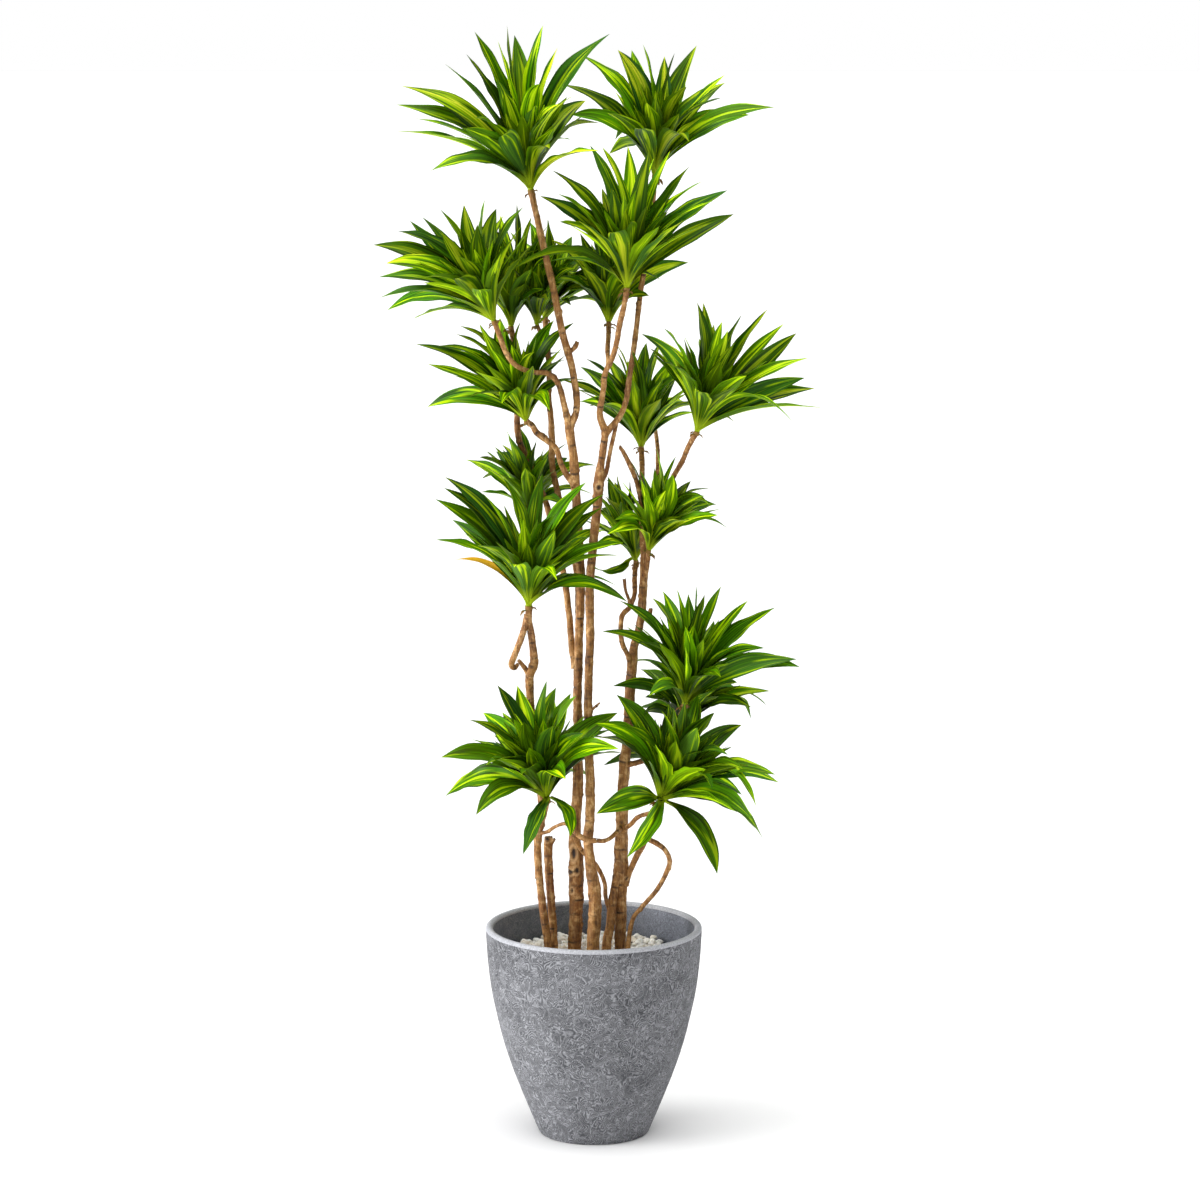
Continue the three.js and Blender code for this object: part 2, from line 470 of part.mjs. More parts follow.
// The core: rings of corners, and the diamonds between them with their corners as left, upper,
// right, lower.
function latticeCore({ at, way, axis, leafCount }) {
  const levels = Math.ceil((leafCount * SPARE_DIAMONDS) / CORE_SIDES);
  const across = new THREE.Vector3(0, 1, 0).cross(axis).normalize();
  const other = axis.clone().cross(across);
  const ring = (centre, radius, stagger) => Array.from({ length: CORE_SIDES }, (_, k) => {
    const turn = ((k + stagger / 2) / CORE_SIDES) * 2 * Math.PI;
    return centre.clone().addScaledVector(across, radius * Math.cos(turn))
      .addScaledVector(other, radius * Math.sin(turn));
  });
  const foot = at.clone().addScaledVector(way, GAP);
  const neck = foot.clone().addScaledVector(way, CORE_FOOT_RADIUS);
  const flat = (centre) => {
    const square = ring(centre, CORE_FOOT_RADIUS, 0);
    return square.map((p) => p.addScaledVector(way, -p.clone().sub(centre).dot(way)));
  };
  const heights = Array.from({ length: levels + 2 }, (_, j) => CORE_FOOT + j * RING_RISE);
  const radiusAt = (j) => CORE_RADIUS * (1 - CORE_TAPER * (j / (levels + 1)) ** 2);
  const rings = heights.map((h, j) =>
    ring(at.clone().addScaledVector(axis, h), radiusAt(j), j % 2));
  const points = [...flat(foot), ...flat(neck), ...rings.flat()];
  const tipIndex = points.length;
  points.push(at.clone().addScaledVector(axis, heights[levels + 1] + CORE_TIP));
  const corner = (j, k) => 2 * CORE_SIDES + j * CORE_SIDES + ((k + CORE_SIDES) % CORE_SIDES);
  const faces = [...wallFaces(0, CORE_SIDES, CORE_SIDES),
    ...wallFaces(CORE_SIDES, 2 * CORE_SIDES, CORE_SIDES)];
  for (let k = 1; k < CORE_SIDES - 1; k++) faces.push([0, k + 1, k]);
  const diamonds = [];
  for (let k = 0; k < CORE_SIDES; k++) {
    faces.push([corner(0, k), corner(0, k + 1), corner(1, k)]);
    faces.push([corner(levels + 1, k), corner(levels + 1, k + 1), tipIndex]);
    const under = levels % 2 ? k : k + 1;
    faces.push([corner(levels + 1, k + 1), corner(levels + 1, k), corner(levels, under)]);
    for (let j = 1; j <= levels; j++) {
      const middle = j % 2 ? k + 1 : k;
      diamonds.push({ height: heights[j], radius: radiusAt(j),
        corners: [corner(j, k), corner(j + 1, middle), corner(j, k + 1), corner(j - 1, middle)] });
    }
  }
  return { points, faces, diamonds, top: heights[levels], bottom: heights[1] };
}

const diamondFaces = ([left, upper, right, lower]) => [[left, right, upper], [right, left, lower]];

const rosettes = ROSETTES.map((data, number) => {
  const { at, way } = ends[data.on.join("")];
  const middle = data.tips.reduce((sum, [x, z]) => sum.add(new THREE.Vector3(x, 0, z).normalize()),
    new THREE.Vector3()).normalize();
  const axis = middle.add(new THREE.Vector3(0, 0, 1)).normalize();
  const rosette = { ...data, number, at, way, axis, length: data.length || LEAF_LENGTH, leaves: [],
    leafCount: data.tips.length + data.fill };
  rosette.core = latticeCore(rosette);
  const { points, faces, diamonds } = rosette.core;
  const skin = [...faces, ...diamonds.flatMap((d) => diamondFaces(d.corners))];
  obstacles.push(patchOf(points, skin, number));
  const inward = (p) => {
    const along = p.clone().sub(at).dot(axis);
    return p.clone().lerp(at.clone().addScaledVector(axis, along), INWARD);
  };
  rosette.own = [patchOf(points.map(inward), skin, number)];
  return rosette;
});

// Where the tip of outline leaf i ends, slid along the line of sight by a number of steps.
function outlineTip(rosette, i, pull) {
  const [x, z, given] = rosette.tips[i];
  const inPlane = rosette.at.clone().add(new THREE.Vector3(x, 0, z));
  const spare = Math.sqrt(Math.max(rosette.length ** 2 - x * x - z * z, 0));
  const side = i % 2 ? 1 : -1;
  const leaning = side * Math.min(DEPTH_TAKEN * spare, DEEPEST * rosette.length);
  const depth = (given ?? leaning) + pull * PULL_STEP;
  const sight = inPlane.clone().sub(EYE);
  return inPlane.addScaledVector(sight, depth / sight.y);
}

// Where the tip of filling leaf i ends: these leaves lean towards the front and the back by turns.
function fillTip(rosette, i, pull) {
  const spread = between([NARROWEST_FILL, WIDEST_FILL], (i + 0.5) / rosette.fill);
  const turn = (i % 2 ? 1 : -1) * Math.PI / 2 + pull * TURN_STEP +
    radians(FILL_SWEEP) * ((i * GOLDEN_SHARE) % 1 - 0.5);
  const out = new THREE.Vector3(Math.cos(turn), Math.sin(turn), 0);
  out.addScaledVector(rosette.axis, -out.dot(rosette.axis)).normalize();
  const length = rosette.length * between(FILL_LENGTHS, draw(rosette.number, i, 7));
  return rosette.at.clone().addScaledVector(rosette.axis, length * Math.cos(radians(spread)))
    .addScaledVector(out, length * Math.sin(radians(spread)));
}

// The free diamonds that suit a tip best: facing it, and higher the steeper the leaf stands.
function suitedDiamonds(rosette, tip) {
  const { axis, at, core } = rosette;
  const reach = tip.clone().sub(at);
  const lean = Math.min(reach.angleTo(axis) / LEAN_AT_FOOT, 1);
  const height = THREE.MathUtils.lerp(core.top, core.bottom, lean);
  const out = reach.addScaledVector(axis, -reach.dot(axis)).normalize();
  const cost = (d) => {
    const middle = core.points[d.corners[0]].clone().add(core.points[d.corners[2]])
      .multiplyScalar(0.5).sub(at);
    const facing = middle.addScaledVector(axis, -middle.dot(axis)).normalize();
    return FACING_WORTH * facing.angleTo(out) + Math.abs(d.height - height);
  };
  return core.diamonds.filter((d) => !d.taken).map((d) => ({ d, cost: cost(d) }))
    .sort((a, b) => a.cost - b.cost).slice(0, NEAREST).map(({ d }) => d);
}

// Everything that fixes a leaf's form between its diamond on the core and its tip. A leaf of the
// outline rolls about its own length until it shows some of its face to the front.
function leafLine(rosette, diamond, tip, i, fills, [roll, arching, broad]) {
  const { axis, number, core } = rosette;
  const base = diamond.corners.map((c) => core.points[c]);
  const root = base[0].clone().add(base[2]).multiplyScalar(0.5);
  const run = tip.clone().sub(root);
  const length = run.length();
  const way = run.clone().normalize();
  const lean = way.angleTo(axis) / (Math.PI / 2);
  const flat = base[2].clone().sub(base[0]);
  flat.addScaledVector(way, -flat.dot(way)).normalize();
  const up = way.clone().cross(flat);
  const turn = fills
    ? radians(FILL_ROLL) * (2 * draw(number, i, 4) - 1)
    : radians(FULL_ROLL) * between([LEAST_ROLL, 1], draw(number, i, 4)) * Math.sign(flat.y);
  const side = flat.clone().applyAxisAngle(way, turn * roll);
  const arch = arching * length * (ARCH_UPRIGHT + ARCH_LEANING * lean + ARCH_DRAWN * draw(number, i, 1));
  const sway = length * SWAY * (draw(number, i, 2) - 0.5);
  const bend = root.clone().lerp(tip, 0.5).addScaledVector(up, 2 * arch)
    .addScaledVector(flat, 2 * sway);
  const width = broad * LEAF_WIDTH * Math.sqrt(length / LEAF_LENGTH) *
    between(WIDTH_SPREAD, draw(number, i, 3));
  return { base, root, bend, tip, side, width };
}

// The leaf's width, its thickness, and how far its edges rise above its midline, along its length.
const SECTIONS = [
  { along: 0.2, width: 0.54, thick: 1.3, rise: 0.36 },
  { along: 0.56, width: 1, thick: 1, rise: 0.18 },
];

// Four corners to a section: left edge, upper face, right edge, lower face. Both faces are split
// alike, from an edge corner of one section to the face corner of the next.
function leafBody({ base, root, bend, tip, side, width }, grown = 0) {
  const centre = base.reduce((sum, p) => sum.add(p), new THREE.Vector3()).multiplyScalar(0.25);
  const points = base.map((p) => (grown ? centre.clone().lerp(p, BASE_SHRINK) : p));
  for (const { along, width: share, thick, rise } of SECTIONS) {
    const back = 1 - along;
    const middle = root.clone().multiplyScalar(back * back).addScaledVector(bend, 2 * along * back)
      .addScaledVector(tip, along * along);
    const way = bend.clone().sub(root).multiplyScalar(back)
      .addScaledVector(tip.clone().sub(bend), along).normalize();
    const up = way.clone().cross(side).normalize();
    const half = (width * share) / 2;
    const edge = (sign) => middle.clone().addScaledVector(side, sign * (half + grown))
      .addScaledVector(up, rise * half);
    const face = (sign) => middle.clone()
      .addScaledVector(up, sign * ((thick * LEAF_THICKNESS) / 2 + grown));
    points.push(edge(-1), face(1), edge(1), face(-1));
  }
  points.push(tip);
  const faces = [];
  const end = points.length - 1;
  for (let a = 0; a < end; a += 4) {
    const b = a + 4;
    for (const [edge, face] of [[0, 1], [2, 1], [2, 3], [0, 3]]) {
      const quad = b < end
        ? [[a + edge, b + edge, b + face], [a + edge, b + face, a + face]]
        : [[a + edge, end, a + face]];
      const turnedOver = (edge === 0) !== (face === 1);
      faces.push(...quad.map(([p, q, r]) => (turnedOver ? [p, r, q] : [p, q, r])));
    }
  }
  return { points, faces };
}

// Tries a leaf in its place, then pulled aside step by step until it crosses nothing. One that
// always crosses something is left out.
function placeLeaf(rosette, tipAt, i) {
  const fills = tipAt === fillTip;
  for (const pull of PULLS) {
    const tip = tipAt(rosette, i, pull);
    const diamonds = suitedDiamonds(rosette, tip);
    for (const [posture, diamond] of POSTURES.flatMap((p) => diamonds.map((d) => [p, d]))) {
      const line = leafLine(rosette, diamond, tip, i + (fills ? FILL_DRAWS : 0), fills, posture);
      const grown = leafBody(line, LEAF_CLEARANCE);
      const patch = patchOf(grown.points, grown.faces, rosette.number);
      if (rosette.own.some((o) => crosses(patch, o))) continue;
      if (obstacles.some((o) => o.owner !== rosette.number && crosses(patch, o))) continue;
      diamond.taken = true;
      rosette.leaves.push({ body: leafBody(line), diamond });
      rosette.own.push(patch);
      obstacles.push(patch);
      return;
    }
  }
}

for (const rosette of rosettes) rosette.tips.forEach((_, i) => placeLeaf(rosette, outlineTip, i));
for (const rosette of rosettes)
  for (let i = 0; i < rosette.fill; i++) placeLeaf(rosette, fillTip, i);

const leafMeshes = rosettes.map(({ core, leaves, number }) => {
  const points = [...core.points];
  const faces = [...core.faces,
    ...core.diamonds.filter((d) => !d.taken).flatMap((d) => diamondFaces(d.corners))];
  for (const { body, diamond } of leaves) {
    const shift = points.length - 4;
    points.push(...body.points.slice(4));
    const index = (i) => (i < 4 ? diamond.corners[i] : i + shift);
    faces.push(...body.faces.map((f) => f.map(index)));
  }
  return meshOf("rosette_" + String(number + 1).padStart(2, "0"),
    solidOf(geometryFrom(points, faces)), LEAF);
});

// ---- The part ----
const dracaena = new THREE.Group();
dracaena.add(
  meshOf("pot", pot, STONE),
  meshOf("potting_soil", withHoles(soilBody), EARTH),
  meshOf("pebble_layer", withHoles(pebbles), PEBBLE),
  ...caneSolids.map(([name, solid]) => meshOf(name, solid, BARK)),
  ...leafMeshes,
);

export default dracaena;
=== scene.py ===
# The looks of a tall potted dracaena: streaked leaves in heads on scarred canes, in a planter of cast
# stone with a layer of pebbles. Metres, +Z up, the front towards -Y. Everything grows from the packed
# part: the leaves from the leaves of its solids, the canes along the same routes.
import math

import bmesh
import bpy
import numpy as np
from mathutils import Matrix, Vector, noise


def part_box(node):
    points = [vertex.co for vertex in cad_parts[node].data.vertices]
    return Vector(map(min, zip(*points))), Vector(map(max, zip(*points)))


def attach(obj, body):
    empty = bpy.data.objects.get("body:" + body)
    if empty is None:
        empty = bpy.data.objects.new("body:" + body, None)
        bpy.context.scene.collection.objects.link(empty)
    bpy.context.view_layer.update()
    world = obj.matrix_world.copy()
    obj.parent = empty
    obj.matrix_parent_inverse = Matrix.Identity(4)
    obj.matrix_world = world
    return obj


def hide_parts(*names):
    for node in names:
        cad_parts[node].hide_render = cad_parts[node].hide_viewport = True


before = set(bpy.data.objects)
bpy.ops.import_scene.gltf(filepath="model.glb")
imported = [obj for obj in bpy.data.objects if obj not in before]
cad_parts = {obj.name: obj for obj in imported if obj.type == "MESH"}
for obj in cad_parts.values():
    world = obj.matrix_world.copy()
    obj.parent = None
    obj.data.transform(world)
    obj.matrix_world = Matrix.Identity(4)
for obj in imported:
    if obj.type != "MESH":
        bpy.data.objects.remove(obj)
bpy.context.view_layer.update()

MM = 0.001
FULL_TURN = 6.28  # radians, for drawn angles
GOLDEN_TURN = math.pi * (3 - math.sqrt(5))  # from one to the next, spreads things evenly round a middle

# ---- Planter and soil ----
POT_HEIGHT = 345 * MM
POT_WALL = 12 * MM
POT_FLOOR = 14 * MM
FLOOR_ROUNDING = 12 * MM  # how far the inner wall draws in on its last stretch down to the floor
# The foot with its small bevel, and the outer wall over it, as (radius, height) in mm.
FOOT_LINE = [(85, 0), (87, 0), (89.5, 0.8)]
POT_WALL_LINE = [
    (91, 3), (104, 34), (120, 74), (135, 114), (148, 155), (158, 196), (167, 240), (173, 290), (176, 339),
]
INNER_HEIGHTS = (330, 318, 306, 295, 287, 240, 190, 140, 90, 50)  # in mm, from the lip down
LIP_RADIUS = POT_WALL / 2
LIP_STEPS = 12
POT_SEGMENTS = 480
WALL_STEPS = 19  # rings for each piece of the wall line
RELIEF_DEPTH = 0.35 * MM
RELIEF_CURL = 11 * MM  # in which the relief curls once
RELIEF_SHARPNESS = 4.5  # the higher, the narrower its backs
RELIEF_HEIGHTS = (8 * MM, POT_HEIGHT - 14 * MM)
RIPPLE_SPACING = 4 * MM
ARC_SPACING = 16 * MM
FIELD_GAIN = 3.3  # a field of noise changes by about 1 / 3.3 in the length of a curl
SOIL_TOP = 287 * MM

# ---- Pebbles ----
PEBBLE_COUNT = 660
PEBBLE_RADII = (5.0 * MM, 8.5 * MM)
PEBBLE_WIDTHS = (0.72, 0.97)  # beside their length, as are the heights
PEBBLE_HEIGHTS = (0.6, 0.85)
PEBBLE_LUMPS = 0.28  # beside the radius, as is the next line
PEBBLE_FLATS = (0.62, 0.82)  # how far from a stone's middle its flats lie
PEBBLE_CUTS = 4  # flats on each stone
PEBBLE_TILT = 0.6  # radians, from the most one way to the most the other way
PEBBLE_MARGIN = 6 * MM  # kept free at the edge of the bed
PEBBLE_STRAY = 6 * MM  # how far a stone may be shifted from its even place
PEBBLE_RISE = 9 * MM  # from the soil to the middle of the topmost pebbles

# ---- Canes ----
CANE_STEP = 2.6 * MM
CANE_FACET = 2.4 * MM  # length of a facet round a cane
LUMP_LENGTH = 22 * MM  # of the swellings along a cane
LUMP_HEIGHT = 0.16  # beside the radius, as the bumps on them and the collar at a fork
BUMP_LENGTH = 6 * MM
BUMP_HEIGHT = 0.09
COLLAR_HEIGHT = 0.55
COLLAR_LENGTH = 1.6  # beside the radius
FIRST_RING = 6 * MM
RING_SPACINGS = (8 * MM, 38 * MM)
RING_WIDTH = 0.9 * MM  # and how far a ring wavers up and down
SWELL_AT = 1.8 * MM  # the cane swells a little just over each ring
SWELL_WIDTH = 1.6 * MM
SWELL_HEIGHT = 0.55 * MM
SCAR_WIDTH = 1.3 * MM
SCAR_BEND = 1.8 * MM  # how far a scar's crescent curves down at its sides
SCAR_DEPTH = 0.9 * MM
KNOT_SIZES = (1.8 * MM, 3.4 * MM)
KNOT_SPACINGS = (35 * MM, 105 * MM)
RAGGED_END = 2.4 * MM
CUT_RADIUS = 0.93  # a cut end's beside the cane's
CUT_HOLLOW = 0.6 * MM

# ---- Leaves ----
LEAF_THICKNESS = 0.7 * MM
LEAF_STEPS = 20
LEAF_COLUMNS = 6
WIDEST = 0.5  # share of a leaf's length at which it is widest
# How far the edges rise over the midline beside the half width, from the base to the tip.
CHANNEL = ([0, 0.15, 0.47, 0.77, 1], [0.8, 0.6, 0.4, 0.28, 0.12])
EDGE_WAVES = (2.0, 4.0)  # along one leaf
WAVE_HEIGHT = 0.11  # beside the half width
LEAF_TWIST = 0.7  # radians at the tip, from the most one way to the most the other way
STRAIGHTER = 0.3  # how much of its solid's bend every leaf loses
STRAIGHTER_HANGING = 0.3  # and how much more one that hangs
STRAIGHTER_SAGGING = 0.35  # or sags
CLIMB = 0.025  # how far a level leaf rises over its solid's line, as a share of its length
HUMP = 27 / 4  # brings the top of t * (1 - t) ** 2 to one
FULLER = 1.1  # a fine leaf's width beside its solid's
OLD_WIDTH = 0.34  # an old leaf's beside the others', as it has rolled up
SOLID_SECTION = 0.56  # share of a solid leaf's length at which its upper section lies
SOLID_CORE = 50 * MM  # height of the core that a solid's leaves stand along
SHEATH = 9 * MM  # all leaves start within this height over the cane's end
INNER_LEAVES = 24  # young leaves in a head
INNER_LENGTH = 195 * MM  # one of this length has the width on the next line
INNER_WIDTH = 29 * MM
INNER_SPREAD = (5, 53)  # degrees from the head's axis, from the first to the last
HEART_RINGS = 12
HEART_SIDES = 12
HEART_SINK = 6 * MM  # how far down the cane the heart of a head starts
HEART_OUTLINE = ([0, 0.1, 0.28, 0.4, 1], [0.98, 1.14, 1.1, 0.95, 0.3])  # radius beside the cane's
# By the head's number: how much longer and wider its fine leaves are than its solid's, where that isn't
# as in the others, how many young leaves it has, and how strong its lime and yellow bands are.
LONGER = {1: 1.04}
WIDER = {1: 1.25, 2: 1.2, 4: 1.22, 18: 1.38, 19: 1.38}
FULL_HEADS = {3: 28, 4: 28, 18: 36, 19: 38}
STRIPED = {1: 1.35, 2: 1.15, 9: 0.8, 11: 0.75, 12: 0.8, 13: 0.8, 14: 0.7, 15: 0.65, 16: 0.3, 17: 0.3,
           18: 0.42, 19: 0.35}
# An old leaf, by the tip's place in mm, as right and up from the cane's end.
YELLOWED = ("rosette_15", (-117, 74))

# What keeps the draws for pebbles, young leaves and dry scraps apart from those for the rest.
PEBBLE_DRAWS = 71
INNER_DRAWS = 200
SCRAP_DRAWS = 300

# ---- Light and camera ----
FLOOR_REACH = 80.0
# Each light's name, the way it shines, its strength, and how many degrees wide its source looks.
LIGHTS = [("side_light", (0.97, 0.2, -0.08), 4.8, 40), ("top_light", (0.03, 0.14, -1.0), 3.5, 75)]
SURROUND = 0.24  # strength above the horizon
CAMERA_PLACE = (0.010, -6.132, 1.851)
CAMERA_DOWN = 9  # degrees
FOCAL_PIXELS = 3865  # as fitted to the photograph, which is PHOTO_PIXELS wide
PHOTO_PIXELS = 1200

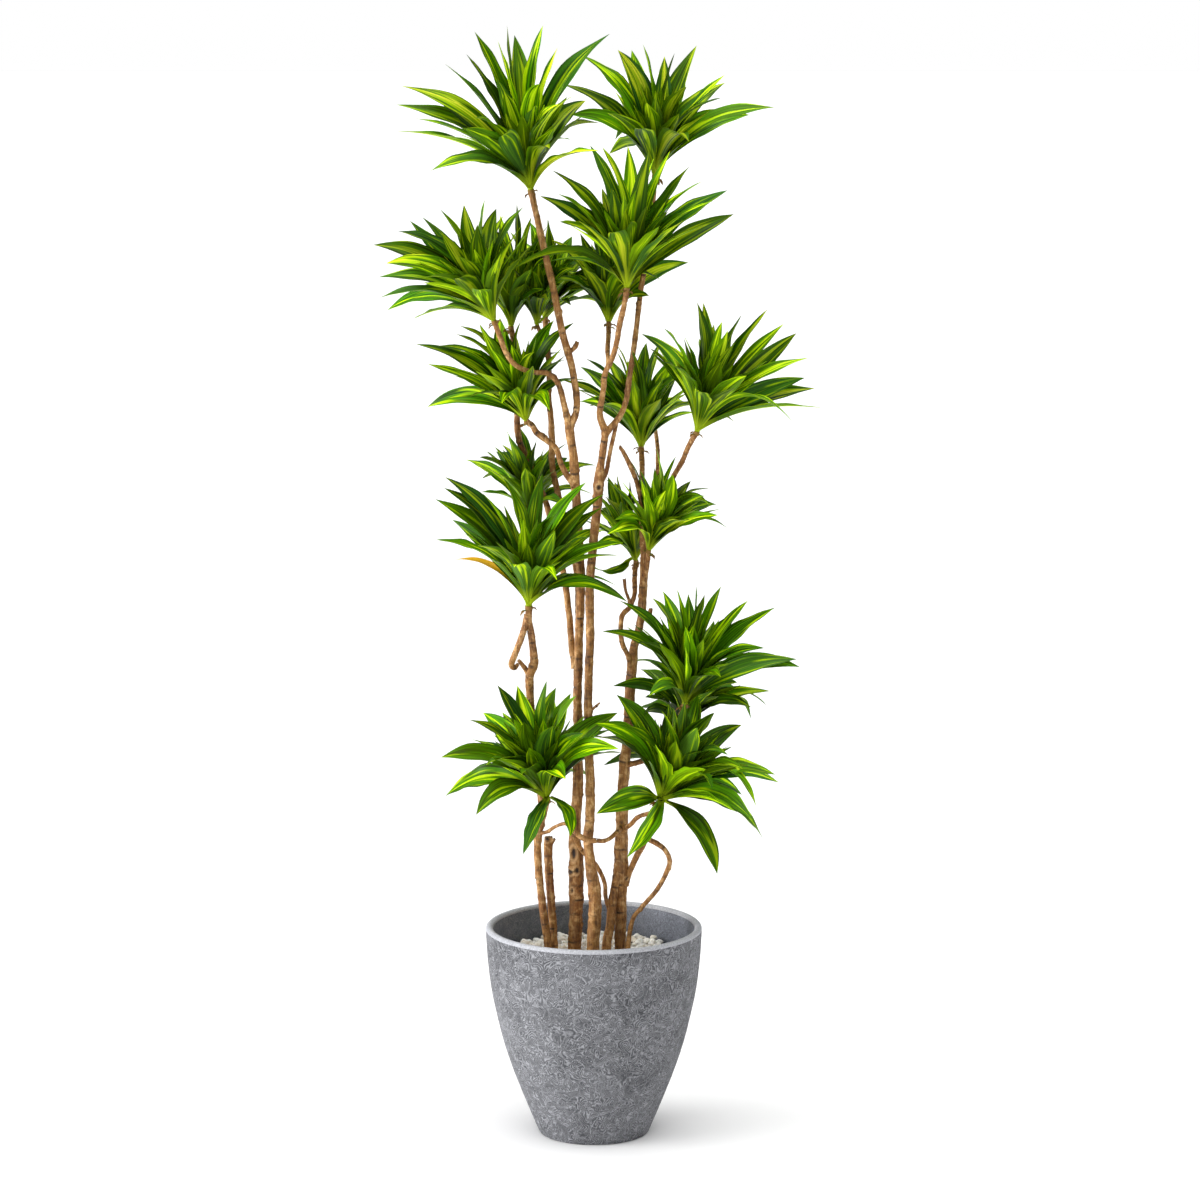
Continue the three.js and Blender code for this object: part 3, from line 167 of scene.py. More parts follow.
# ---- The canes: routes as (x, y, z, radius) in mm, from the foot up, as in the part ----
CANES = {
    "cane_left": {
        "trunk": [(-75, 0, 202, 6.2), (-75, 0, 312, 6.2), (-80, 0, 349, 6.2), (-88, 0, 417, 6.2),
                  (-91, -2, 469, 6.3), (-90, -4, 495, 6.5), (-84, -6, 528, 6.1), (-90, -10, 603, 5.7),
                  (-99, -20, 687, 5.8), (-102, -40, 735, 6.4), (-102, -55, 767, 6.8), (-95, -62, 788, 6.8),
                  (-98, -70, 826, 5.6), (-103, -78, 860, 5.2), (-103, -80, 883, 5.6)],
        "lowBranch": [(-87, -5, 512, 5.7), (-80, -30, 538, 5.2), (-75, -60, 565, 5.2)],
        "hangingStub": [(-104, -78, 868, 4.6), (-115, -80, 831, 5.2), (-127, -81, 801, 5.2),
                        (-131, -79, 789, 5), (-127, -75, 782, 4), (-121, -69, 787, 3)],
        "shortStub": [(-101, -55, 762, 4), (-110, -58, 779, 3.8), (-119, -66, 792, 3)],
        "crossBranch": [(-88, -5, 498, 2.8), (-76, -14, 502, 2.8), (-61, -26, 514, 2.8),
                        (-45, -34, 520, 3.2), (-34, -40, 512, 4), (-17, -42, 498, 4.4), (-3, -42, 494, 4.2),
                        (4, -42, 494, 4.4)],
    },
    "cane_left_cut": {
        "trunk": [(-65, 14, 202, 6.5), (-65, 14, 309, 6.5), (-67, 14, 346, 6.5), (-71, 14, 398, 6.9),
                  (-74, 16, 450, 7.1), (-74, 18, 486, 7.3)],
        "twig": [(-73, 16, 470, 2.4), (-64, 12, 484, 2.2)],
    },
    "cane_mid_left": {
        "trunk": [(-31, 20, 202, 11.4), (-31, 20, 306, 11.4), (-29, 20, 356, 11), (-29, 20, 414, 12.2),
                  (-29, 20, 451, 11.8), (-31, 20, 481, 9.8), (-29, 20, 523, 8.9), (-26, 20, 572, 8.5),
                  (-26, 20, 649, 7.3), (-26, 20, 724, 7.3), (-24, 20, 811, 6.9), (-21, 16, 908, 6.8),
                  (-25, 8, 992, 6.8), (-30, 0, 1079, 7.2), (-33, -6, 1120, 6.8), (-38, -10, 1160, 6.8),
                  (-31, -12, 1175, 5.6), (-27, -12, 1192, 5.2), (-31, -14, 1237, 5.2), (-39, -16, 1274, 5.6),
                  (-49, -18, 1309, 5.5), (-60, -20, 1363, 5.5), (-72, -20, 1417, 5.4), (-83, -20, 1466, 5.1),
                  (-99, -20, 1537, 5.1)],
        "archedBranch": [(-38, -10, 1160, 5.6), (-47, -18, 1195, 4.8), (-52, -26, 1219, 4.8),
                         (-61, -34, 1239, 4.4), (-75, -42, 1250, 4), (-96, -52, 1252, 3.9),
                         (-115, -58, 1259, 3.9), (-129, -60, 1270, 3.9), (-140, -60, 1288, 4.1),
                         (-147, -60, 1307, 4.1), (-157, -60, 1334, 4.3)],
        "backBranch": [(-30, 22, 765, 4.8), (-35, 30, 793, 5.3), (-40, 40, 849, 5.3), (-47, 48, 905, 4.9),
                       (-61, 58, 969, 4.9), (-79, 68, 1033, 4.9), (-103, 76, 1089, 4.9),
                       (-121, 80, 1129, 5.3), (-124, 80, 1194, 4.8), (-124, 78, 1256, 4.4),
                       (-133, 70, 1314, 4.4)],
        "backOffshoot": [(-58, 57, 958, 4), (-79, 74, 970, 3.8), (-95, 86, 984, 3.6), (-103, 90, 1003, 3.6)],
        "rearBranch": [(-24, 20, 806, 4), (-26, 44, 856, 4), (-27, 56, 904, 4.5), (-39, 60, 969, 4.4),
                       (-55, 60, 1034, 4.8), (-67, 60, 1089, 5.2), (-67, 60, 1123, 5.6), (-69, 62, 1164, 4.8),
                       (-72, 66, 1195, 4.4), (-72, 76, 1238, 4.4), (-74, 90, 1274, 4.4),
                       (-79, 120, 1323, 4.5)],
        "rearFork": [(-73, 84, 1262, 3.4), (-82, 78, 1291, 3.2), (-91, 70, 1316, 3.2)],
        "sideArm": [(-30, 0, 1066, 4.8), (-44, 2, 1083, 4.8), (-54, 4, 1104, 4.4), (-60, 6, 1123, 4.4),
                    (-78, 8, 1139, 4.8), (-91, 9, 1149, 4.8), (-99, 10, 1161, 4.8), (-108, 10, 1168, 4)],
        "knob": [(-41, -16, 1278, 3), (-29, -14, 1289, 4), (-26, -14, 1296, 3.4)],
    },
    "cane_mid_right": {
        "trunk": [(-1, -20, 202, 10.2), (-1, -20, 317, 10.1), (2, -20, 382, 10.9), (0, -20, 415, 10.5),
                  (-6, -20, 454, 8.5), (-9, -20, 490, 8.1), (-6, -20, 531, 7.7), (-6, -20, 581, 7.7),
                  (-8, -18, 654, 6.8), (-9, -16, 731, 6.8), (-6, -14, 817, 6.8), (-6, -12, 913, 6.8),
                  (-1, -10, 970, 6.8), (5, -8, 1027, 7.2), (8, -8, 1069, 8.6), (12, -10, 1106, 5.6),
                  (16, -12, 1132, 5.6), (18, -14, 1154, 6), (10, -20, 1176, 5.2), (10, -24, 1191, 5.2),
                  (15, -34, 1220, 4.6), (18, -46, 1249, 4.3), (26, -54, 1267, 4.3), (35, -64, 1293, 4.3),
                  (41, -76, 1330, 4.3), (48, -84, 1362, 4.3), (52, -90, 1388, 4.3)],
        "backFork": [(24, -54, 1262, 3.5), (22, -40, 1283, 3.6), (23, -8, 1302, 3.8), (24, 30, 1323, 4)],
        "rightFork": [(18, -14, 1150, 4.8), (29, -10, 1162, 4.8), (39, -6, 1173, 4.8), (50, 0, 1196, 4.4),
                      (58, 8, 1243, 4.4), (66, 16, 1300, 4.4), (75, 26, 1376, 4.4), (90, 36, 1462, 4.4),
                      (97, 40, 1557, 4.4)],
        "thinFork": [(10, -8, 1069, 4), (20, 2, 1087, 3.6), (24, 6, 1107, 3.4), (29, 4, 1133, 3.4),
                     (34, -4, 1155, 3.2), (37, -6, 1171, 3.2)],
        "cutTwig": [(-8, -17, 700, 2.2), (4, -22, 711, 1.8), (9, -24, 716, 1.4)],
    },
    "cane_right": {
        "trunk": [(43, 12, 202, 9), (43, 12, 308, 9), (44, 12, 358, 9), (43, 12, 400, 10.6),
                  (44, 11, 442, 12.2), (44, 10, 475, 11.4), (46, 10, 508, 10.1), (46, 10, 550, 9.3),
                  (50, 10, 608, 8.9), (54, 10, 650, 8.1), (57, 10, 690, 8.5), (58, 10, 726, 8.5),
                  (62, 10, 772, 8.1), (66, 8, 805, 6.8), (73, 4, 834, 6), (78, 2, 870, 7.2),
                  (79, 0, 896, 6.8),
                  (81, 0, 945, 6.4), (79, 0, 993, 6), (77, 6, 1030, 4.8), (77, 20, 1055, 4.4),
                  (78, 60, 1083, 4.4), (77, 100, 1114, 4.5)],
        "secondFoot": [(21, 0, 202, 7.3), (21, 0, 311, 7.3), (28, 0, 352, 7.3), (31, 2, 385, 7.3),
                       (36, 6, 414, 7.3), (42, 10, 445, 7.3)],
        "looseLoop": [(60, 9, 767, 4), (55, 0, 789, 4), (47, -6, 807, 4), (43, -10, 836, 4), (47, -8, 858, 4),
                      (58, 0, 868, 4), (65, 10, 886, 3.6), (66, 30, 911, 4), (68, 50, 936, 4)],
        "shortFork": [(80, 0, 905, 4), (85, -10, 935, 4), (88, -20, 964, 4)],
        "rightFork": [(81, 0, 940, 4), (93, 10, 984, 4), (105, 10, 1024, 4), (116, 4, 1056, 4),
                      (127, -4, 1079, 4), (141, -14, 1106, 4), (152, -22, 1133, 4.1), (164, -30, 1155, 4.4)],
        "leftTwig": [(78, 4, 1028, 3.6), (72, 4, 1059, 4), (66, 0, 1079, 4), (58, 0, 1098, 4),
                     (48, 8, 1117, 3.2), (42, 14, 1126, 2.4)],
        "diagonal": [(27, 0, 362, 3.3), (19, -1, 392, 3.4), (18, 0, 412, 3.4), (5, 1, 442, 3.6),
                     (-13, 0, 461, 3.6), (-24, -3, 476, 3.6), (-32, -5, 492, 3.4)],
        "frontBranch": [(44, 2, 506, 4), (34, -22, 500, 3.6), (23, -38, 495, 3.4), (14, -42, 493, 3.4),
                        (5.6, -42, 494, 3.4)],
        "lowArm": [(50, 8, 410, 4.9), (65, 2, 449, 4.9), (80, -14, 482, 4.9), (91, -40, 511, 4.8),
                   (100, -66, 541, 4.8), (106, -80, 566, 4.8)],
        "upperArm": [(46, 4, 501, 4.1), (59, -14, 514, 3.6), (71, -30, 530, 3.6), (90, -52, 541, 3.6),
                     (101, -70, 548, 3.2)],
        "curvedRunner": [(56, -9, 202, 4.1), (56, -9, 313, 4.1), (64, -11, 358, 3.7), (78, -13, 377, 3.7),
                         (102, -16, 406, 3.9), (118, -22, 438, 4), (123, -24, 456, 4), (115, -26, 475, 4.2),
                         (100, -28, 487, 4.2), (86, -26, 493, 4)],
        "rightArm": [(50, 8, 608, 4), (75, 0, 615, 4.4), (107, -18, 635, 4.4), (126, -36, 658, 4.4),
                     (137, -46, 691, 4.8), (146, -50, 719, 5.2)],
        "backArm": [(116, -28, 642, 3.6), (129, -8, 645, 3.8), (140, 26, 652, 4), (147, 50, 662, 4.1)],
        "rearTwig": [(81, 2, 955, 3.6), (97, 50, 1019, 3.6), (104, 110, 1076, 3.7), (103, 150, 1121, 3.3),
                     (98, 160, 1150, 3)],
        "knob": [(76, 2, 848, 3.4), (89, -4, 858, 4), (92, -5, 866, 3.2)],
        "hook": [(60, 3, 872, 2.6), (51, -5, 896, 2.4), (49, -7, 914, 3)],
    },
}
ROSETTE_CANES = [
    ("cane_mid_left", "trunk"), ("cane_mid_right", "rightFork"), ("cane_mid_right", "trunk"),
    ("cane_mid_left", "archedBranch"), ("cane_mid_left", "backBranch"), ("cane_mid_left", "rearBranch"),
    ("cane_mid_left", "rearFork"), ("cane_mid_right", "backFork"), ("cane_mid_left", "sideArm"),
    ("cane_right", "trunk"), ("cane_right", "rightFork"), ("cane_right", "looseLoop"),
    ("cane_right", "shortFork"), ("cane_mid_left", "backOffshoot"), ("cane_left", "trunk"),
    ("cane_right", "rightArm"), ("cane_right", "backArm"), ("cane_left", "lowBranch"),
    ("cane_right", "lowArm"),
]

# What shows on the front of the canes, as (x, z, half width, half height) in mm: hollows where a
# branch has rotted out, painted dark inside as shade, knots where one was cut off, and stains.
CANE_MARKS = {
    "hollow": [(-33, 461, 5, 11), (-41, 429, 7, 5), (-28, 433, 4, 6), (-36, 521, 3, 3), (-36, 399, 3, 4),
               (-100, 1162, 3.2, 3.2), (-29, 1187, 2, 2), (-76, 484, 7, 4), (-105, 841, 2, 2),
               (53, 421, 3, 2.4), (39, 505, 2, 2), (-104, 723, 2.4, 2.4), (8, 1064, 4, 5)],
    "knot": [(-98, 783, 5.5, 6.5), (45, 515, 4, 6), (44, 392, 4, 3), (-116, 887, 4, 4), (-92, 888, 4, 4),
             (-79, 1144, 5, 5), (-43, 1179, 5, 5), (0, 1044, 5, 6), (-30, 1293, 4, 4), (-94, 833, 2, 2),
             (-23, 399, 2, 2), (-7, 399, 3, 4)],
    "stain": [(58, 757, 3, 16), (-11, 790, 4, 14), (-11, 726, 5, 9), (-24, 767, 8, 20), (-24, 737, 8, 2),
              (44, 450, 5, 22), (-8, 430, 6, 14), (-29, 330, 8, 18), (40, 330, 7, 22)],
}


# ---- Helpers ----
def draw(group, item, number):
    """A fixed draw between 0 and 1. The number tells the draws for one item apart."""
    whole = 0xFFFFFFFF
    a = (group * 7919 + item * 104729 + number * 1299709) & whole
    a = ((a ^ (a >> 15)) * 0x2C1B3C6D) & whole
    a = ((a ^ (a >> 12)) * 0x297A2D39) & whole
    return ((a ^ (a >> 15)) & whole) / 4294967296


def between(limits, share):
    """The value that lies a share of the way from the first limit to the second."""
    return limits[0] + (limits[1] - limits[0]) * share


def unit(v):
    """Vectors at length one."""
    return v / np.linalg.norm(v, axis=-1, keepdims=True)


def square_to(axis):
    """Two directions square to an axis and to each other."""
    across = unit(np.cross([0, 1, 0], axis))
    return across, np.cross(axis, across)


def smooth_step(low, high, value):
    """0 at low and 1 at high, with a smooth change between them."""
    share = np.clip((value - low) / (high - low), 0, 1)
    return share * share * (3 - 2 * share)


def hermite(start, end, leaving, arriving, t):
    """A point on the smooth curve that leaves one point and arrives at another in the given ways."""
    return ((2 * start - 2 * end + leaving + arriving) * t**3
            + (3 * end - 3 * start - 2 * leaving - arriving) * t**2 + leaving * t + start)


def turned(points, first, second, angle):
    """Points turned by an angle from the first axis towards the second."""
    result = points.copy()
    result[:, first] = points[:, first] * math.cos(angle) - points[:, second] * math.sin(angle)
    result[:, second] = points[:, first] * math.sin(angle) + points[:, second] * math.cos(angle)
    return result


def frames_along(line):
    """The way, and two directions square to it that don't twist, at each point of a line."""
    ways = unit(np.gradient(line, axis=0))
    across = np.array([1, 0.31, 0.17])  # no cane runs this way
    sides = []
    for way in ways:
        across = unit(across - across.dot(way) * way)
        sides.append(across)
    sides = np.array(sides)
    return ways, sides, np.cross(ways, sides)


def wall_faces(rings, count):
    """The faces between rings of so many corners each."""
    after = [*range(1, count), 0]
    return [(j * count + k, j * count + after[k], (j + 1) * count + after[k], (j + 1) * count + k)
            for j in range(rings - 1) for k in range(count)]


def joined(parts):
    """Several meshes as one. Each is its points, its faces, the material of each face, the numbers at
    each corner by name, and the corners whose edges are sharp."""
    points, faces, kinds, numbers, sharp, shift = [], [], [], {}, [], 0
    for part_points, part_faces, part_kinds, part_numbers, part_sharp in parts:
        points.append(part_points)
        faces += [tuple(n + shift for n in face) for face in part_faces]
        kinds += part_kinds
        for label, values in part_numbers.items():
            numbers.setdefault(label, []).append(values)
        sharp += [n + shift for n in part_sharp]
        shift += len(part_points)
    numbers = {label: np.concatenate(values) for label, values in numbers.items()}
    return np.concatenate(points), faces, kinds, numbers, sharp


def mesh_piece(name, materials, points, faces, kinds, numbers=None, sharp=None):
    """A smooth mesh object that rides on the part, made of what joined gives."""
    mesh = bpy.data.meshes.new(name)
    mesh.from_pydata([tuple(p) for p in points], [], faces)
    mesh.update()
    for material in materials:
        mesh.materials.append(material)
    mesh.polygons.foreach_set("material_index", np.asarray(kinds, np.int32))
    for label, values in (numbers or {}).items():
        attribute = mesh.attributes.new(label, "FLOAT", "POINT")
        attribute.data.foreach_set("value", np.asarray(values, np.float32))
    mesh.polygons.foreach_set("use_smooth", np.ones(len(mesh.polygons), bool))
    if sharp:
        edges = np.empty(len(mesh.edges) * 2, np.int32)
        mesh.edges.foreach_get("vertices", edges)
        marked = np.isin(edges.reshape(-1, 2), np.asarray(sharp)).all(1)
        mesh.attributes.new("sharp_edge", "BOOLEAN", "EDGE").data.foreach_set("value", marked)
    piece = bpy.data.objects.new(name, mesh)
    bpy.context.scene.collection.objects.link(piece)
    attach(piece, "root")
    return piece


def linear(hex_colour):
    """An sRGB hex colour as the linear RGBA that the shaders take."""
    channels = [int(hex_colour[i:i + 2], 16) / 255 for i in (1, 3, 5)]
    return [*(c / 12.92 if c <= 0.04045 else ((c + 0.055) / 1.055) ** 2.4 for c in channels), 1.0]


def add(tree, kind, inputs=None, stops=None, **settings):
    """Adds a node to a tree. An input is given a value, or an output to follow. A node in an output's
    place stands for its first one in use."""
    node = tree.nodes.new("ShaderNode" + kind)
    for name, value in settings.items():
        setattr(node, name, value)
    for socket, value in (inputs or {}).items():
        if isinstance(value, bpy.types.Node):
            value = next(output for output in value.outputs if output.enabled)
        if isinstance(value, bpy.types.NodeSocket):
            tree.links.new(value, node.inputs[socket])
        else:
            node.inputs[socket].default_value = value
    if stops:
        elements = node.color_ramp.elements
        while len(elements) < len(stops):
            elements.new(1.0)
        for element, (place, colour) in zip(elements, stops):
            element.position = place
            element.color = linear(colour)
    return node


def new_material(name):
    """A material, its node tree and its surface shader."""
    material = bpy.data.materials.new(name)
    material.use_nodes = True
    tree = material.node_tree
    return material, tree, tree.nodes["Principled BSDF"]


# ---- Materials ----
def cast_stone(name, light, dark, relief):
    """Cast stone, pressed in a mould with a relief of fine curled ripples: a dull grey, paler along
    the ripples' backs, with a few longer pale arcs and dark pits."""
    material, tree, shader = new_material(name)
    place = add(tree, "TexCoord").outputs["Object"]
    clouds = add(tree, "TexNoise", {"Vector": place, "Scale": 1 / (71.43 * MM), "Detail": 5.0,
                                    "Roughness": 0.6})
    grit = add(tree, "TexNoise", {"Vector": place, "Scale": 1 / (2.3256 * MM), "Detail": 2.0,
                                  "Roughness": 0.7})

    def ripples(curl, spacing, shift):
        """Lines at a spacing, side by side, that curl round once in the length of a curl."""
        moved = add(tree, "VectorMath", {0: place, 1: (shift, shift, shift)}, operation="ADD")
        field = add(tree, "TexNoise", {"Vector": moved, "Scale": 1 / curl, "Detail": 1.0,
                                       "Roughness": 0.3, "Distortion": 0.35})
        waves = add(tree, "Math", {0: field, 1: FIELD_GAIN * curl / spacing}, operation="MULTIPLY")
        fold = add(tree, "Math", {0: waves, 1: 0.5}, operation="PINGPONG")
        return add(tree, "MapRange", {"Value": fold, "From Min": 0.08, "From Max": 0.46},
                   interpolation_type="SMOOTHSTEP")

    # Two fields of ripples take turns.
    choice = add(tree, "TexNoise", {"Vector": place, "Scale": 1 / (22.222 * MM), "Detail": 1.0})
    turn = add(tree, "MapRange", {"Value": choice, "From Min": 0.47, "From Max": 0.53})
    fine = add(tree, "Mix", {0: turn, 2: ripples(23.81 * MM, RIPPLE_SPACING, 0.0),
                             3: ripples(13.333 * MM, RIPPLE_SPACING, 3.1)})
    arcs = add(tree, "Math", {0: ripples(33.333 * MM, ARC_SPACING, 7.7), 1: 8.0}, operation="POWER")
    depth = add(tree, "TexNoise", {"Vector": place, "Scale": 1 / (14.286 * MM), "Detail": 2.0})
    kept = add(tree, "MapRange", {"Value": depth, "From Min": 0.35, "From Max": 0.62,
                                  "To Min": 0.45, "To Max": 1.0})
    shallow = add(tree, "Math", {0: fine, 1: kept}, operation="MULTIPLY")
    curls = add(tree, "Math", {0: arcs, 1: 0.35, 2: shallow}, operation="MULTIPLY_ADD")
    mottle = add(tree, "Math", {0: clouds, 1: 0.55}, operation="MULTIPLY")
    raised = add(tree, "Math", {0: curls, 1: 0.62 * relief, 2: mottle}, operation="MULTIPLY_ADD")
    tone = add(tree, "ValToRGB", {"Fac": raised}, stops=[(0.2, dark), (0.85, light)])
    speck = add(tree, "MapRange", {"Value": grit, "From Min": 0.28, "From Max": 0.6,
                                   "To Min": 0.62, "To Max": 1.06})
    final = add(tree, "Mix", {0: 1.0, 6: tone, 7: speck}, data_type="RGBA", blend_type="MULTIPLY")
    tree.links.new(final.outputs[2], shader.inputs["Base Color"])
    rough = add(tree, "MapRange", {"Value": clouds, "To Min": 0.66, "To Max": 0.86})
    tree.links.new(rough.outputs["Result"], shader.inputs["Roughness"])
    grain = add(tree, "Math", {0: grit, 1: 0.5}, operation="MULTIPLY")
    total = add(tree, "Math", {0: curls, 1: relief, 2: grain}, operation="MULTIPLY_ADD")
    bump = add(tree, "Bump", {"Height": total, "Strength": 1.0, "Distance": 0.8 * MM})
    tree.links.new(bump.outputs["Normal"], shader.inputs["Normal"])
    shader.inputs["IOR"].default_value = 1.5
    shader.inputs["Specular IOR Level"].default_value = 0.3
    return material


def river_pebble():
    """White marble pebbles, tumbled: off-white and dull, with faint grey and rusty veins."""
    material, tree, shader = new_material("tumbled marble pebble")
    place = add(tree, "TexCoord").outputs["Object"]
    kind = add(tree, "Attribute", attribute_name="stone_draw").outputs["Fac"]
    tone = add(tree, "ValToRGB", {"Fac": kind},
               stops=[(0.0, "#d8cdbb"), (0.3, "#e9e3d8"), (0.6, "#f0eee9"), (0.85, "#dcdcda"),
                      (1.0, "#cfc2ae")])
    stain = add(tree, "TexNoise", {"Vector": place, "Scale": 1 / (11.111 * MM), "Detail": 5.0,
                                   "Roughness": 0.65, "Distortion": 0.6})
    vein = add(tree, "MapRange", {"Value": stain, "From Min": 0.55, "From Max": 0.72})
    stained = add(tree, "Mix", {0: vein, 6: tone, 7: linear("#b39a7a")}, data_type="RGBA")
    tree.links.new(stained.outputs[2], shader.inputs["Base Color"])
    rough = add(tree, "MapRange", {"Value": stain, "To Min": 0.42, "To Max": 0.66})
    tree.links.new(rough.outputs["Result"], shader.inputs["Roughness"])
    grain = add(tree, "TexNoise", {"Vector": place, "Scale": 1 / (1.6667 * MM), "Detail": 3.0})
    bump = add(tree, "Bump", {"Height": grain, "Strength": 0.4, "Distance": 0.3 * MM})
    tree.links.new(bump.outputs["Normal"], shader.inputs["Normal"])
    return material


def potting_soil():
    """Potting soil: dark crumbs of peat and bark, matt, with a few lighter fibres."""
    material, tree, shader = new_material("potting soil")
    place = add(tree, "TexCoord").outputs["Object"]
    crumbs = add(tree, "TexVoronoi", {"Vector": place, "Scale": 1 / (3.846 * MM), "Randomness": 1.0})
    peat = add(tree, "TexNoise", {"Vector": place, "Scale": 1 / (8.3333 * MM), "Detail": 6.0})
    tone = add(tree, "ValToRGB", {"Fac": peat},
               stops=[(0.3, "#150d07"), (0.55, "#2e1f13"), (0.75, "#5a4229")])
    tree.links.new(tone.outputs["Color"], shader.inputs["Base Color"])
    shader.inputs["Roughness"].default_value = 0.95
    bump = add(tree, "Bump", {"Height": crumbs, "Strength": 0.9, "Distance": 3 * MM})
    tree.links.new(bump.outputs["Normal"], shader.inputs["Normal"])
    return material


def cane_bark():
    """Dracaena bark, dry: golden brown, with dark crescents where leaves have dropped, knots, thin
    rings, stains, pale worn rims round hollows, painted shade inside the hollows, and cracks that
    run along the cane."""
    material, tree, shader = new_material("dracaena bark")
    place = add(tree, "TexCoord").outputs["Object"]
    hue = add(tree, "TexNoise", {"Vector": place, "Scale": 1 / (142.86 * MM), "Detail": 1.0})
    tone = add(tree, "ValToRGB", {"Fac": hue},
               stops=[(0.3, "#8f5929"), (0.45, "#99662f"), (0.6, "#a37238"), (0.75, "#936135")])
    # Fibres and cracks 2 to 3 mm wide, and ten times as long, so they show as lines along the cane.
    # The real ones are finer, and wouldn't show.
    stretch = add(tree, "VectorMath", {0: place, 1: (1.0, 1.0, 0.1)}, operation="MULTIPLY")
    fibre = add(tree, "TexNoise", {"Vector": stretch, "Scale": 1 / (3.125 * MM),
                                   "Detail": 4.0, "Roughness": 0.65})
    patch = add(tree, "TexNoise", {"Vector": place, "Scale": 1 / (13.3333 * MM), "Detail": 5.0,
                                   "Roughness": 0.62, "Distortion": 0.4})
    speckle = add(tree, "TexNoise", {"Vector": place, "Scale": 1 / (3.84615 * MM), "Detail": 3.0,
                                     "Roughness": 0.6})
    layers = [
        (patch, 0.52, 0.66, 0.85, "#dbad72"),  # pale dry skin
        (patch, 0.48, 0.32, 0.8, "#583619"),  # weathered patches
        (fibre, 0.52, 0.68, 0.6, "#38210e"),  # cracks
        (fibre, 0.46, 0.34, 0.4, "#e0b47c"),  # the backs between cracks
        (speckle, 0.62, 0.72, 0.8, "#241407"),  # dark specks
    ]
    colour = tone
    for source, start, full, most, shade in layers:
        share = add(tree, "MapRange", {"Value": source, "From Min": start, "From Max": full,
                                       "To Max": most})
        colour = add(tree, "Mix", {0: share, 6: colour, 7: linear(shade)}, data_type="RGBA")
    # The scar mark is near black: leaf scars, knots, and the painted shade inside the hollows.
    marks = [("stain", 0.5, "#4b3220"), ("worn", 1.0, "#d9b07c"), ("ring", 0.42, "#46290f"),
             ("scar_and_hollow_shade", 0.95, "#160c06")]
    for mark, most, shade in marks:
        strength = add(tree, "Attribute", attribute_name="cane_" + mark).outputs["Fac"]
        share = add(tree, "Math", {0: strength, 1: most}, operation="MULTIPLY", use_clamp=True)
        colour = add(tree, "Mix", {0: share, 6: colour, 7: linear(shade)}, data_type="RGBA")
    tree.links.new(colour.outputs[2], shader.inputs["Base Color"])
    rough = add(tree, "MapRange", {"Value": fibre, "To Min": 0.55, "To Max": 0.85})
    tree.links.new(rough.outputs["Result"], shader.inputs["Roughness"])
    uneven = add(tree, "Math", {0: fibre, 1: patch}, operation="ADD")
    bump = add(tree, "Bump", {"Height": uneven, "Strength": 0.9, "Distance": 0.8 * MM})
    tree.links.new(bump.outputs["Normal"], shader.inputs["Normal"])
    return material


def cut_wood():
    """The end of a sawn or broken cane: pale dry pith with darker rings and cracks."""
    material, tree, shader = new_material("cut cane end")
    place = add(tree, "TexCoord").outputs["Object"]
    pith = add(tree, "TexNoise", {"Vector": place, "Scale": 1 / (2.5 * MM), "Detail": 4.0})
    tone = add(tree, "ValToRGB", {"Fac": pith},
               stops=[(0.3, "#3c2a1c"), (0.5, "#8a6b48"), (0.75, "#c9ab7f")])
    tree.links.new(tone.outputs["Color"], shader.inputs["Base Color"])
    shader.inputs["Roughness"].default_value = 0.85
    bump = add(tree, "Bump", {"Height": pith, "Strength": 0.9, "Distance": 1.0 * MM})
    tree.links.new(bump.outputs["Normal"], shader.inputs["Normal"])
    return material


